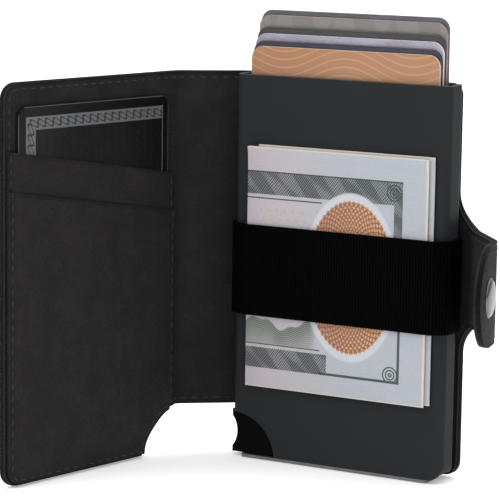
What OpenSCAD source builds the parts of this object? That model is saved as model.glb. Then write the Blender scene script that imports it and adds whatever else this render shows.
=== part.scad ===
// Card-protector wallet: an aluminium card case with an ejector lever, carried
// in a leather cover that folds round it and closes with a snap strap.
// The case stands on its base. X is its width, Y its thickness (front face
// towards -Y), Z its height. The origin is the middle of the base.

/* [Case] */
// Width of the aluminium case
case_w = 61.5; // [60:0.5:75]
// Height of the case with its base plate
case_h = 102; // [100:1:125]
// Wall of the extruded sleeve
case_wall = 1.0; // [0.8:0.1:1.3]
// Radius of the sleeve's long edges
case_edge_r = 2.2; // [1.6:0.1:3]
// Radius of the sleeve's lower right corner, seen from the front
case_corner_r = 4; // [2:0.5:6]
// Radius of the thumb notch at the lower left corner
notch_r = 12; // [10:0.2:14.5]
// Thickness of the base plate
plate_t = 0.8; // [0.6:0.1:1.2]

/* [Cards] */
// Width of a card
card_w = 54; // [53:0.5:55]
// Height of a card
card_h = 85.6; // [80:0.2:86]
// Thickness of a card
card_t = 0.8; // [0.6:0.02:1]
// Corner radius of a card
card_r = 3.2; // [2:0.2:4]
// Number of cards in the case
card_count = 6; // [6:1:6]
// Gap between one card and the next
card_gap = 0.18; // [0.1:0.02:0.3]
// Thickness of the felt strips that hold the cards by friction
felt_t = 0.3; // [0.2:0.05:0.5]
// Clearance between a felt strip and the nearest card
felt_gap = 0.15; // [0.05:0.05:0.3]
// Depth of a fully inserted card's top edge below the rim
card_sunk = 2; // [1:0.5:4]
// Clearance between a card's edge and the guide rails
rail_gap = 0.2; // [0.1:0.05:0.5]

/* [Lever] */
// Turn of the lever from released to fully pressed, in degrees
lever_turn = 12.5; // [8:0.5:13]
// Distance of the pivot from the sleeve's right side
pivot_inset = 5.75; // [5:0.25:7]
// Height of the pivot above the base
pivot_z = 4.9; // [4.5:0.1:6]
// Radius of the pivot pin
pin_r = 1.0; // [0.8:0.05:1.2]
// Running clearance of the lever on its pin
pin_gap = 0.05; // [0.02:0.01:0.1]
// Clearance between the lever and what it moves past
lever_gap = 0.3; // [0.2:0.05:0.4]

/* [Cover] */
// Thickness of the outer leather
leather_t = 1.1; // [0.9:0.1:1.4]
// Thickness of the lining leather
lining_t = 0.7; // [0.5:0.1:0.9]
// Room between the elastic band and the pockets when the cover is closed
closing_gap = 2.85; // [1:0.05:6]
// Distance that the closed flap's edge stays inside the case's right side
flap_short = 0.6; // [0:0.1:3]
// Turn of the first fold at rest, in degrees from flat
fold_1_rest = 37; // [20:1:60]
// Turn of the second fold at rest, in degrees from flat
fold_2_rest = 41; // [20:1:60]
// Radius of the flap's outer corners
flap_corner_r = 4.5; // [3:0.5:8]
// Radius of the thumb cut-out in the cover
thumb_r = 12.2; // [10:0.2:15]
// Room between the sleeve's back and the lining
back_gap = 0.95; // [0.9:0.05:1.2]
// How far the back panel's upper right edge stands inside the sleeve's side
upper_inset = 1.6; // [1:0.1:3]

/* [Pockets] */
// Thickness of a pocket panel
pocket_t = 0.6; // [0.5:0.1:0.8]
// Distance of the rear pocket's edge below the flap's top, at the free side
rear_pocket_down = 17; // [12:0.5:24]
// Distance of the front pocket's edge below the flap's top, at the free side
front_pocket_down = 27; // [25:0.5:40]
// Drop of both pocket edges towards the spine
pocket_drop = 9.7; // [6:0.1:12]
// Distance of the pocket seam from the second fold
pocket_start = 3.6; // [3:0.1:4.5]
// Height of the pocket's floor seam, on which its card stands
pocket_floor = 10.3; // [6:0.1:12]

/* [Band and notes] */
// Width of the elastic band
band_w = 24; // [18:1:30]
// Thickness of the elastic band
band_t = 0.9; // [0.7:0.1:1.1]
// Height of the middle of the band
band_z = 51; // [45:0.5:56]
// Width of a folded banknote
note_w = 52; // [50:0.5:54]
// Width of the rear banknote, which is folded tighter
rear_note_w = 50.6; // [48:0.2:53]
// Height of a folded banknote
note_h = 63.5; // [55:0.5:77]
// Thickness of a folded banknote
note_t = 0.75; // [0.4:0.05:0.75]
// Height of the front banknote's lower edge
note_z = 20; // [16:0.5:24]

/* [Strap] */
// Width of the closing strap
strap_w = 25; // [20:0.5:30]
// Height of the middle of the strap
strap_z = 52.8; // [48:0.2:56]
// Space between the flap and the closed strap, which the snap fills
snap_space = 1.5; // [1.3:0.1:2.2]
// Length of the strap's tip beyond its second fold
tip_l = 20.5; // [20:0.5:26]
// Turn of the strap's first fold at rest, in degrees from flat
strap_1_rest = 50; // [20:1:60]
// Turn of the strap's second fold at rest, in degrees from flat
strap_2_rest = 28; // [20:1:60]
// Radius of the snap's cap
snap_cap_r = 4.9; // [4:0.1:6]
// Distance of the snap from the flap's free edge
snap_inset = 7; // [6:0.5:9]

/* [Hidden] */
$fn = 64;

// Sleeve and what it holds
half_w = case_w / 2;
card_pitch = card_t + card_gap;
case_t = 2 * (case_wall + felt_t + felt_gap) + card_pitch * (card_count - 1) + card_t;
half_t = case_t / 2;
in_w = case_w - 2 * case_wall;
in_t = case_t - 2 * case_wall;
plug_floor_t = 0.7;
pivot_x = half_w - pivot_inset;
hub_r = 3.2;
hub_back_y = 0.4;
ear_t = 1.15;
ear_w = 8.4;
ear_top = pivot_z + 4;
plug_right = half_w - case_wall - case_corner_r + 1.6;
ear_left = plug_right - ear_w;
seat_gap = 0.1;
cut = 0.5;

// Rise of each card above the rim, front card first
fan_rise = [7.4, 8.8, 10.6, 12.3, 15.3, 16.6];
card_seat_z = case_h - card_sunk - card_h;
stack_y = -card_pitch * (card_count - 1) / 2;
lever_reach = pivot_x + card_w / 2;
step_top = card_seat_z - lever_gap - 0.2;
arm_right = ear_left - lever_gap - 0.4;
arm_lap = 7;
pad_lap = 1.2;
step_scale = 0.56;
step_tops = [for (rise = fan_rise) step_top - step_scale * (fan_rise[card_count - 1] - rise)];
notch_x = 1;
side_slot_top = notch_r + lever_reach * sin(lever_turn) + 0.8;

// Leather
cover_t = leather_t + lining_t;
half_cover = cover_t / 2;
card_room = 0.1;
cover_h = case_h;
cover_y = half_t + back_gap + half_cover;
note_gap = 0.05;
pocket_room = 2 * card_room + card_t;
spine_w = 2 * half_cover + back_gap + case_t + 2 * note_t + 3 * note_gap + band_t + note_gap
          + closing_gap + pocket_room + 2 * pocket_t;
fold_gap = 0.05;
fold_x = half_w + band_t + 0.3 + half_cover;
flap_turn = fold_1_rest + fold_2_rest;
fold_2 = [-fold_x - spine_w * cos(fold_1_rest), cover_y - spine_w * sin(fold_1_rest)];
flap_w = fold_x + half_w - flap_short;
panel_edge = half_w + 0.5;
upper_edge = half_w - upper_inset;
bridge_l = spine_w + cover_t + snap_space;
thumb_u = 1;
flare = 6;
upper_flare = 9;
bridge_turn = strap_1_rest;
tip_turn = strap_1_rest + strap_2_rest;
strap_fold_2 = [fold_x + bridge_l * cos(bridge_turn), cover_y - bridge_l * sin(bridge_turn)];
closed_flap_reach = flap_w - fold_x;
snap_u = fold_x - (closed_flap_reach - snap_inset);
socket_proud = snap_space - 0.2;
stud_u = flap_w - snap_inset;

// Pockets and notes
pocket_end = flap_w - 1.5;
pocket_w0 = half_cover;
pocket_w1 = half_cover + pocket_room;
pocket_card_u = pocket_start + 1.6 + card_w / 2;
rim_w = 1.3;
note_x = 0.15;
note_shift = [2.0, 0.5];
note_right = note_x + max(note_w / 2, note_shift[0] + rear_note_w / 2);
note_front_y = -half_t - 2 * note_gap - 2 * note_t - note_gap;

// ---- shapes ----

// Rectangle with round corners, centred
module round_rect(w, h, r) {
    square([w - 2 * r, h], center = true);
    square([w, h - 2 * r], center = true);
    for (sx = [-1, 1], sy = [-1, 1])
        translate([sx * (w / 2 - r), sy * (h / 2 - r)]) circle(r = r);
}

// Flat drawing in X and Z given a thickness from y0 to y1
module upright(y0, y1) {
    translate([0, y1, 0]) rotate([90, 0, 0]) linear_extrude(y1 - y0) children();
}

// Frames of the moving panels: local X runs along the panel, away from its fold
module at_spine() {
    translate([-fold_x, cover_y, 0]) rotate([0, 0, 180 + fold_1_rest]) children();
}
module at_flap() {
    translate([fold_2[0], fold_2[1], 0]) rotate([0, 0, 180 + flap_turn]) children();
}
module at_bridge() {
    translate([fold_x, cover_y, 0]) rotate([0, 0, -bridge_turn]) children();
}
module at_tip() {
    translate([strap_fold_2[0], strap_fold_2[1], 0]) rotate([0, 0, -tip_turn]) children();
}

// Rolled edge of the leather on a fold's axis
module fold_bead(z0, z1) {
    translate([0, 0, z0]) cylinder(r = half_cover, h = z1 - z0, $fn = 32);
}

// What a square corner loses to a radius, with the corner at the origin
module corner_cut(r) {
    difference() {
        translate([-cut, -cut]) square(r + cut);
        translate([r, r]) circle(r = r);
    }
}

// Tube of radius r swept along a list of points
module wire(points, r, sides = 6) {
    n = len(points);
    rings = [for (i = [0:n - 1])
        let (a = points[max(i - 1, 0)], b = points[min(i + 1, n - 1)],
             t = (b - a) / norm(b - a), s = cross(t, [0.31, 0.17, 0.93]),
             u = s / norm(s), v = cross(t, u))
        for (k = [0:sides - 1])
            points[i] + r * (cos(k * 360 / sides) * u + sin(k * 360 / sides) * v)];
    faces = concat(
        [[for (k = [0:sides - 1]) k]],
        [[for (k = [0:sides - 1]) n * sides - 1 - k]],
        [for (i = [0:n - 2], k = [0:sides - 1])
            [i * sides + k, (i + 1) * sides + k, (i + 1) * sides + (k + 1) % sides]],
        [for (i = [0:n - 2], k = [0:sides - 1])
            [i * sides + k, (i + 1) * sides + (k + 1) % sides, i * sides + (k + 1) % sides]]);
    polyhedron(rings, faces);
}

// ---- case ----

module case_sleeve() {
    color([0.18, 0.185, 0.19]) difference() {
        translate([0, 0, plate_t]) linear_extrude(case_h - plate_t)
            round_rect(case_w, case_t, case_edge_r);
        translate([0, 0, plate_t - cut]) linear_extrude(case_h + 2 * cut)
            round_rect(in_w, in_t, case_edge_r - case_wall);
        translate([notch_x - half_w, 0, 0]) rotate([90, 0, 0])
            cylinder(r = notch_r, h = case_t + 2 * cut, center = true, $fn = 96);
        translate([-half_w - cut, -in_t / 2, plate_t - cut])
            cube([case_wall + 2 * cut, in_t, side_slot_top - plate_t + cut]);
        upright(-half_t - cut, half_t + cut)
            translate([half_w, plate_t]) mirror([1, 0]) corner_cut(case_corner_r);
    }
}

module base_plate() {
    plate_left = -half_w + 2.75;
    plate_right = half_w - case_corner_r;
    color([0.45, 0.45, 0.46]) translate([(plate_left + plate_right) / 2, 0, 0])
        linear_extrude(plate_t)
            round_rect(plate_right - plate_left, case_t - 0.2, 1);
}

module base_plug() {
    plug_left = notch_x - half_w + notch_r + pad_lap + lever_gap;
    y_out = in_t / 2 - seat_gap;
    color([0.07, 0.07, 0.07]) difference() {
        union() {
            translate([plug_left, -y_out, plate_t])
                cube([plug_right - plug_left, 2 * y_out, plug_floor_t]);
            for (s = [-1, 1])
                translate([ear_left, s > 0 ? y_out - ear_t : -y_out, plate_t])
                    cube([ear_w, ear_t, ear_top - plate_t]);
        }
        translate([pivot_x, 0, pivot_z]) rotate([90, 0, 0])
            cylinder(r = pin_r, h = case_t, center = true);
    }
}

module pivot_pin() {
    color([0.75, 0.75, 0.76]) translate([pivot_x, in_t / 2 - seat_gap, pivot_z])
        rotate([90, 0, 0]) cylinder(r = pin_r, h = in_t - 2 * seat_gap);
}

// Torsion spring round the pin: one leg on the lever's arm, one on the plug's floor
module return_spring() {
    wire_r = 0.2;
    wire_gap = 0.05;
    coil_r = pin_r + 0.75;
    turns = 2.5;
    per_turn = 16;
    pitch = 2 * wire_r + 0.04;
    y0 = hub_back_y + wire_r + wire_gap;
    last_y = y0 + turns * pitch;
    leg_z = plate_t + plug_floor_t + wire_r + wire_gap;
    coil = [for (i = [0:turns * per_turn])
        let (a = 90 - i * 360 / per_turn)
        [pivot_x + coil_r * cos(a), y0 + i * pitch / per_turn, pivot_z + coil_r * sin(a)]];
    // The arm's slope under the leg, on the step at the leg's place in the stack
    step = floor((y0 - stack_y) / card_pitch + 0.5);
    slope = (step_tops[step] - pivot_z - 1) / arm_lap;
    lift = (wire_r + wire_gap) * sqrt(1 + slope * slope);
    color([0.7, 0.7, 0.72]) wire(concat(
        [[arm_right - 2.2, y0, pivot_z + 1 + 2.2 * slope + lift],
         [arm_right - 0.9, y0, pivot_z + 1 + 0.9 * slope + lift],
         [arm_right + 0.6, y0, pivot_z + coil_r + 0.3], [pivot_x - 1.5, y0, pivot_z + coil_r]],
        coil,
        [[pivot_x - 2, last_y, pivot_z - coil_r], [pivot_x - 4, last_y, leg_z],
         [pivot_x - 5, last_y, leg_z]]), wire_r);
}

// Rail between the cards' edges and the sleeve's narrow wall, on side -1 or 1
module guide_rail(side, z0) {
    color([0.07, 0.07, 0.07]) translate([0, 0, z0])
        linear_extrude(case_h - card_sunk / 2 - z0) intersection() {
            round_rect(in_w - 2 * seat_gap, in_t - 2 * seat_gap,
                       case_edge_r - case_wall - seat_gap);
            translate([side > 0 ? card_w / 2 + rail_gap : -in_w / 2, -in_t / 2])
                square([in_w / 2 - card_w / 2 - rail_gap, in_t]);
        }
}

module guide_rail_left() {
    guide_rail(-1, card_seat_z + lever_reach * sin(lever_turn) - 0.4);
}

module guide_rail_right() {
    guide_rail(1, ear_top + 1);
}

module felt_strip(side) {
    felt_h = 11;
    color([0.12, 0.12, 0.12])
        translate([-22, side > 0 ? in_t / 2 - felt_t : -in_t / 2, case_h - felt_h - 2.5])
            cube([44, felt_t, felt_h]);
}

module felt_strip_front() {
    felt_strip(-1);
}

module felt_strip_back() {
    felt_strip(1);
}

// Stepped arm: one step under each card, with the thumb pad in the notch
module lever() {
    arm_y = card_pitch * card_count / 2;
    arm_left = -card_w / 2 + 0.2;
    arm_z0 = plate_t + plug_floor_t + lever_gap;
    pad_y = in_t / 2 - seat_gap - 0.1;
    pad_z0 = plate_t + 0.15;
    scoop_r = 6.6;
    color([0.03, 0.03, 0.03]) difference() {
        union() {
            for (i = [0:card_count - 1]) {
                upright(stack_y + (i - 0.5) * card_pitch, stack_y + (i + 0.5) * card_pitch)
                    polygon([[-half_w + notch_r - 1.5, arm_z0], [arm_right, arm_z0],
                             [arm_right, pivot_z + 1], [arm_right - arm_lap, step_tops[i]],
                             [arm_left, step_tops[i]], [arm_left, pivot_z]]);
            }
            upright(-arm_y + 1, hub_back_y) {
                polygon([[arm_right - 1, arm_z0], [pivot_x, pivot_z - hub_r],
                         [pivot_x, pivot_z + hub_r], [arm_right - 1, pivot_z + 2]]);
                translate([pivot_x, pivot_z]) circle(r = hub_r);
            }
            upright(-pad_y, pad_y) difference() {
                intersection() {
                    translate([notch_x - half_w, 0]) circle(r = notch_r + pad_lap, $fn = 96);
                    translate([-half_w - 0.3, pad_z0]) square([notch_r + 2.5, notch_r - 0.4]);
                }
                translate([-half_w - scoop_r + 1.15, notch_r / 2 + 0.6])
                    circle(r = scoop_r, $fn = 96);
            }
        }
        translate([pivot_x, 0, pivot_z]) rotate([90, 0, 0])
            cylinder(r = pin_r + pin_gap, h = case_t, center = true);
    }
}

// ---- cards ----

module card_shape() {
    round_rect(card_w, card_h, card_r);
}

// Card number i, counted from the front, at its height in the fan
module case_card(i) {
    y = stack_y + i * card_pitch;
    upright(y - card_t / 2, y + card_t / 2)
        translate([0, case_h + fan_rise[i] - card_h / 2]) card_shape();
}

module card_1() {
    color([0.80, 0.52, 0.34]) case_card(0);
}
module card_2() {
    color([0.08, 0.10, 0.16]) case_card(1);
}
module card_3() {
    color([0.72, 0.70, 0.76]) case_card(2);
}
module card_4() {
    color([0.26, 0.28, 0.27]) case_card(3);
}
module card_5() {
    color([0.55, 0.52, 0.49]) case_card(4);
}
module card_6() {
    color([0.38, 0.40, 0.44]) case_card(5);
}

// ---- cover ----

module back_tape() {
    tape_w = case_w - 17;
    color([0.85, 0.85, 0.83]) translate([-tape_w / 2, half_t, 14])
        cube([tape_w, back_gap, case_h - 20]);
}

// Outline of the back panel seen from the front, left fold at x0, right side at x1
module back_outline(x0, x1) {
    difference() {
        union() {
            translate([x0, 0.4]) square([panel_edge - x0, strap_z - 0.4]);
            translate([x0, 0.4]) square([upper_edge - x0, cover_h - 0.4]);
            polygon([[panel_edge - 1, strap_z - strap_w / 2 - flare], [x1, strap_z - strap_w / 2 - 3],
                     [x1, strap_z + strap_w / 2 + 3],
                     [upper_edge - 1, strap_z + strap_w / 2 + upper_flare]]);
        }
        translate([-fold_x, 0]) circle(r = thumb_r, $fn = 96);
        translate([panel_edge, 0.4]) mirror([1, 0]) corner_cut(case_corner_r);
        translate([upper_edge, cover_h]) mirror([1, 0]) mirror([0, 1]) corner_cut(2);
    }
}

module back_lining() {
    color([0.13, 0.13, 0.13]) upright(cover_y - half_cover, cover_y - half_cover + lining_t)
        back_outline(-fold_x + half_cover + fold_gap, fold_x - half_cover - fold_gap);
}

module back_leather() {
    color([0.17, 0.17, 0.17]) {
        upright(cover_y + half_cover - leather_t, cover_y + half_cover)
            back_outline(-fold_x, fold_x);
        translate([-fold_x, cover_y, 0]) fold_bead(thumb_r, cover_h);
        translate([fold_x, cover_y, 0])
            fold_bead(strap_z - strap_w / 2 - 3, strap_z + strap_w / 2 + 3);
    }
}

module spine_outline(u0, u1) {
    translate([u0, thumb_r]) square([u1 - u0, cover_h - thumb_r]);
}

module spine_lining() {
    u0 = half_cover + fold_gap;
    color([0.10, 0.10, 0.10]) at_spine() upright(half_cover - lining_t, half_cover)
        spine_outline(u0, spine_w - u0);
}

module spine_leather() {
    color([0.17, 0.17, 0.17]) at_spine() {
        upright(-half_cover, half_cover - lining_t)
            spine_outline(half_cover + fold_gap, spine_w);
        translate([spine_w, 0, 0]) fold_bead(thumb_r, cover_h);
    }
}

// Flap outline in its own plane, from u0 beyond the fold, inset from its edges
module flap_outline(u0, inset = 0) {
    r = flap_corner_r - inset;
    difference() {
        translate([u0, inset]) square([flap_w - inset - u0, cover_h - 2 * inset]);
        translate([thumb_u, 0]) circle(r = thumb_r + inset, $fn = 96);
        translate([-cut, -cut]) square([thumb_u + cut, thumb_r + cut]);
        translate([flap_w - inset, inset]) mirror([1, 0]) corner_cut(r);
        translate([flap_w - inset, cover_h - inset]) mirror([1, 0]) mirror([0, 1])
            corner_cut(r);
    }
}

module flap_lining() {
    color([0.16, 0.16, 0.16]) at_flap() upright(half_cover - lining_t, half_cover)
        flap_outline(half_cover + fold_gap);
}

module flap_leather() {
    color([0.17, 0.17, 0.17]) at_flap() difference() {
        upright(-half_cover, half_cover - lining_t) flap_outline(half_cover + fold_gap);
        translate([stud_u, 0, strap_z]) rotate([90, 0, 0])
            cylinder(r = 1.6, h = 4 * cover_t, center = true);
        translate([stud_u, half_cover - lining_t, strap_z]) rotate([90, 0, 0])
            cylinder(r = 3.6, h = 1, center = true);
    }
}

// Area under a pocket's slanted edge, which is z_down below the top on the free side
module pocket_area(z_down, u0, u1) {
    slope = pocket_drop / (pocket_end - pocket_start);
    z_high = cover_h - z_down;
    intersection() {
        flap_outline(pocket_start, 1.5);
        polygon([[u0, 0], [u1, 0], [u1, z_high - (pocket_end - u1) * slope],
                 [u0, z_high - (pocket_end - u0) * slope]]);
    }
}

module rear_pocket() {
    color([0.18, 0.175, 0.175]) at_flap() {
        upright(pocket_w1, pocket_w1 + pocket_t)
            pocket_area(rear_pocket_down, pocket_start, pocket_end);
        upright(pocket_w0, pocket_w1)
            for (u = [pocket_start, pocket_end - rim_w])
                pocket_area(rear_pocket_down, u, u + rim_w);
        upright(pocket_w0, pocket_w1) intersection() {
            pocket_area(rear_pocket_down, pocket_start, pocket_end);
            square([flap_w, pocket_floor]);
        }
    }
}

module front_pocket() {
    color([0.19, 0.185, 0.185]) at_flap() upright(pocket_w1 + pocket_t, pocket_w1 + 2 * pocket_t)
        pocket_area(front_pocket_down, pocket_start, pocket_end);
}

module pocket_card() {
    color([0.05, 0.05, 0.055]) at_flap()
        upright(pocket_w0 + card_room, pocket_w0 + card_room + card_t)
            translate([pocket_card_u, pocket_floor + card_room + card_h / 2]) card_shape();
}

// ---- band and notes ----

module banknote(w, x, z, y0) {
    upright(y0, y0 + note_t) translate([x, z + note_h / 2]) round_rect(w, note_h, 0.5);
}

module banknote_front() {
    color([0.86, 0.85, 0.84]) banknote(note_w, note_x, note_z, note_front_y);
}

module banknote_rear() {
    color([0.80, 0.80, 0.76]) banknote(rear_note_w, note_x + note_shift[0],
                                       note_z + note_shift[1], note_front_y + note_t + note_gap);
}

// What the band is stretched round: the sleeve with the notes on its face
module wrapped_shape(extra) {
    offset(r = extra, $fn = 32) hull() {
        round_rect(case_w, case_t, case_edge_r);
        translate([note_x - note_w / 2, note_front_y])
            square([note_right - note_x + note_w / 2, 2 * note_t]);
    }
}

module elastic_band() {
    tail = 7;
    color([0.02, 0.02, 0.02]) translate([0, 0, band_z - band_w / 2]) linear_extrude(band_w)
        difference() {
            wrapped_shape(band_t + 0.05);
            wrapped_shape(0.05);
            translate([-half_w + tail, 0]) square([case_w - 2 * tail, case_t]);
        }
}

// ---- strap and snap ----

// Strap from u0 to u1, widening towards its first fold
module bridge_outline(u0, u1) {
    flare_l = 5.5;
    flare_h = 3;
    difference() {
        translate([u0, strap_z - strap_w / 2 - flare_h]) square([u1 - u0, strap_w + 2 * flare_h]);
        for (s = [-1, 1]) {
            translate([flare_l, strap_z + s * (strap_w / 2 + flare_l)])
                circle(r = flare_l, $fn = 96);
            translate([flare_l, strap_z + s * (strap_w / 2 + flare_l) - flare_l])
                square([bridge_l, 2 * flare_l]);
        }
    }
}

module bridge_lining() {
    u0 = half_cover + fold_gap;
    color([0.13, 0.13, 0.13]) at_bridge() upright(-half_cover, -half_cover + lining_t)
        bridge_outline(u0, bridge_l - u0);
}

module bridge_leather() {
    color([0.22, 0.21, 0.21]) at_bridge() {
        upright(-half_cover + lining_t, half_cover)
            bridge_outline(half_cover + fold_gap, bridge_l);
        translate([bridge_l, 0, 0]) fold_bead(strap_z - strap_w / 2, strap_z + strap_w / 2);
    }
}

// Tip of the strap with its round end
module tip_outline() {
    u0 = half_cover + fold_gap;
    translate([u0, strap_z - strap_w / 2]) square([tip_l - strap_w / 2 - u0, strap_w]);
    translate([tip_l - strap_w / 2, strap_z]) intersection() {
        circle(r = strap_w / 2, $fn = 96);
        translate([-cut, -strap_w]) square([strap_w, 2 * strap_w]);
    }
}

module snap_hole() {
    translate([snap_u, 0, strap_z]) rotate([90, 0, 0])
        cylinder(r = 2.2, h = 4 * cover_t, center = true);
}

module tip_lining() {
    color([0.13, 0.13, 0.13]) at_tip() difference() {
        upright(-half_cover, -half_cover + lining_t) tip_outline();
        snap_hole();
    }
}

module tip_leather() {
    color([0.23, 0.22, 0.22]) at_tip() difference() {
        upright(-half_cover + lining_t, half_cover) tip_outline();
        snap_hole();
    }
}

// Turned shape on the strap tip's snap axis; local +Y is the strap's outer side
module on_snap_axis() {
    at_tip() translate([snap_u, 0, strap_z]) rotate([-90, 0, 0]) children();
}

module snap_cap() {
    dome_h = 1.1;
    dome_r = (snap_cap_r * snap_cap_r + dome_h * dome_h) / (2 * dome_h);
    color([0.82, 0.82, 0.83]) on_snap_axis() {
        translate([0, 0, half_cover]) intersection() {
            translate([0, 0, dome_h - dome_r]) sphere(r = dome_r, $fn = 96);
            cylinder(r = snap_cap_r, h = dome_h);
        }
        translate([0, 0, -half_cover]) difference() {
            cylinder(r = 2.1, h = cover_t + 0.1);
            translate([0, 0, -cut]) cylinder(r = 1.5, h = cover_t - 0.6 + cut);
        }
    }
}

module snap_socket() {
    color([0.72, 0.72, 0.73]) on_snap_axis() difference() {
        translate([0, 0, -half_cover - socket_proud]) cylinder(r = 4.4, h = socket_proud);
        translate([0, 0, -half_cover - socket_proud - cut])
            cylinder(r = 2.3, h = socket_proud + 2 * cut);
    }
}

// Stud on the flap's outer face; local -Y is the outer side of the flap
module snap_stud() {
    stud_h = socket_proud - 0.3;
    color([0.78, 0.78, 0.79]) at_flap() translate([stud_u, -half_cover, strap_z])
        rotate([90, 0, 0]) {
            cylinder(r = 1.9, h = stud_h);
            translate([0, 0, 0.45 * stud_h]) cylinder(r = 2.1, h = 0.4 * stud_h);
            translate([0, 0, -leather_t]) cylinder(r = 1.5, h = leather_t);
        }
}

module snap_stud_base() {
    color([0.6, 0.6, 0.61]) at_flap() translate([stud_u, half_cover - lining_t, strap_z])
        rotate([90, 0, 0]) difference() {
            cylinder(r = 3.5, h = 0.45);
            translate([0, 0, -cut]) cylinder(r = 1.5, h = 0.45 + 2 * cut);
        }
}

case_sleeve();
base_plate();
base_plug();
pivot_pin();
return_spring();
guide_rail_left();
guide_rail_right();
felt_strip_front();
felt_strip_back();
back_tape();
back_lining();
back_leather();
elastic_band();
lever();
card_1();
card_2();
card_3();
card_4();
card_5();
card_6();
spine_lining();
spine_leather();
flap_lining();
flap_leather();
rear_pocket();
front_pocket();
pocket_card();
banknote_front();
banknote_rear();
bridge_lining();
bridge_leather();
tip_lining();
tip_leather();
snap_cap();
snap_socket();
snap_stud();
snap_stud_base();
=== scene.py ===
"""A slim wallet: an aluminium card case with an ejector lever in a folding leather cover.

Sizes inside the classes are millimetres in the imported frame: X is the case's width, the front
face looks towards -Y, and Z is height. Meshes are scaled to metres when they are finished.
"""
import logging
import math
from collections.abc import Callable, Sequence
from dataclasses import dataclass, field
from enum import Enum

import bmesh
import bpy
from mathutils import Matrix, Vector
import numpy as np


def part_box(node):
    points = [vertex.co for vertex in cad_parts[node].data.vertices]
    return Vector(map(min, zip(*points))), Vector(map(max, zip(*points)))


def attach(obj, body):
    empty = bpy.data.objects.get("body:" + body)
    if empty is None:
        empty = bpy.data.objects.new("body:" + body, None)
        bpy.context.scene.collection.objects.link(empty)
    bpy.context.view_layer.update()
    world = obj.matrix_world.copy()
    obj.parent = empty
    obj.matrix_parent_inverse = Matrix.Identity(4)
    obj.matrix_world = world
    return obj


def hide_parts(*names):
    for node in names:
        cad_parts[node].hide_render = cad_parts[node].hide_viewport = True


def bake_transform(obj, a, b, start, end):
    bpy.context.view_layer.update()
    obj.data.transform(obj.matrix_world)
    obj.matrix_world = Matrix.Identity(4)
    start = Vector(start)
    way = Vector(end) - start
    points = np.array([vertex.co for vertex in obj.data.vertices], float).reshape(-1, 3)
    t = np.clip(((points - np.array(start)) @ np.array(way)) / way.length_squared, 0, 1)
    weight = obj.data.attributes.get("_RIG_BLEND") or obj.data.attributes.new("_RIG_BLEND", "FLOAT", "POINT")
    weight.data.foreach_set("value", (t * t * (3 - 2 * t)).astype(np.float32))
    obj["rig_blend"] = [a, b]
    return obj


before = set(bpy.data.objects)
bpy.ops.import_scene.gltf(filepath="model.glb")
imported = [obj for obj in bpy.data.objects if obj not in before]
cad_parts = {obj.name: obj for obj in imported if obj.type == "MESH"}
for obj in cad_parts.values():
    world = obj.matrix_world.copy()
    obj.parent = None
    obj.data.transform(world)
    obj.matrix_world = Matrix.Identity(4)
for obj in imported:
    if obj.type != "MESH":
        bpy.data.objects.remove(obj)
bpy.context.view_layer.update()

MM = 0.001
MAP = 100.0  # millimetres to one unit of every UV map
CARD_WIDTH = 54.0
CARD_HEIGHT = 85.6
CARD_CORNER = 3.2
NOTE_HEIGHT = 63.5
RIB = 0.8
LOG = logging.getLogger("wallet")
Colour = tuple[float, float, float]
Point = tuple[float, float]


# ---- shader graphs ----


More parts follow.
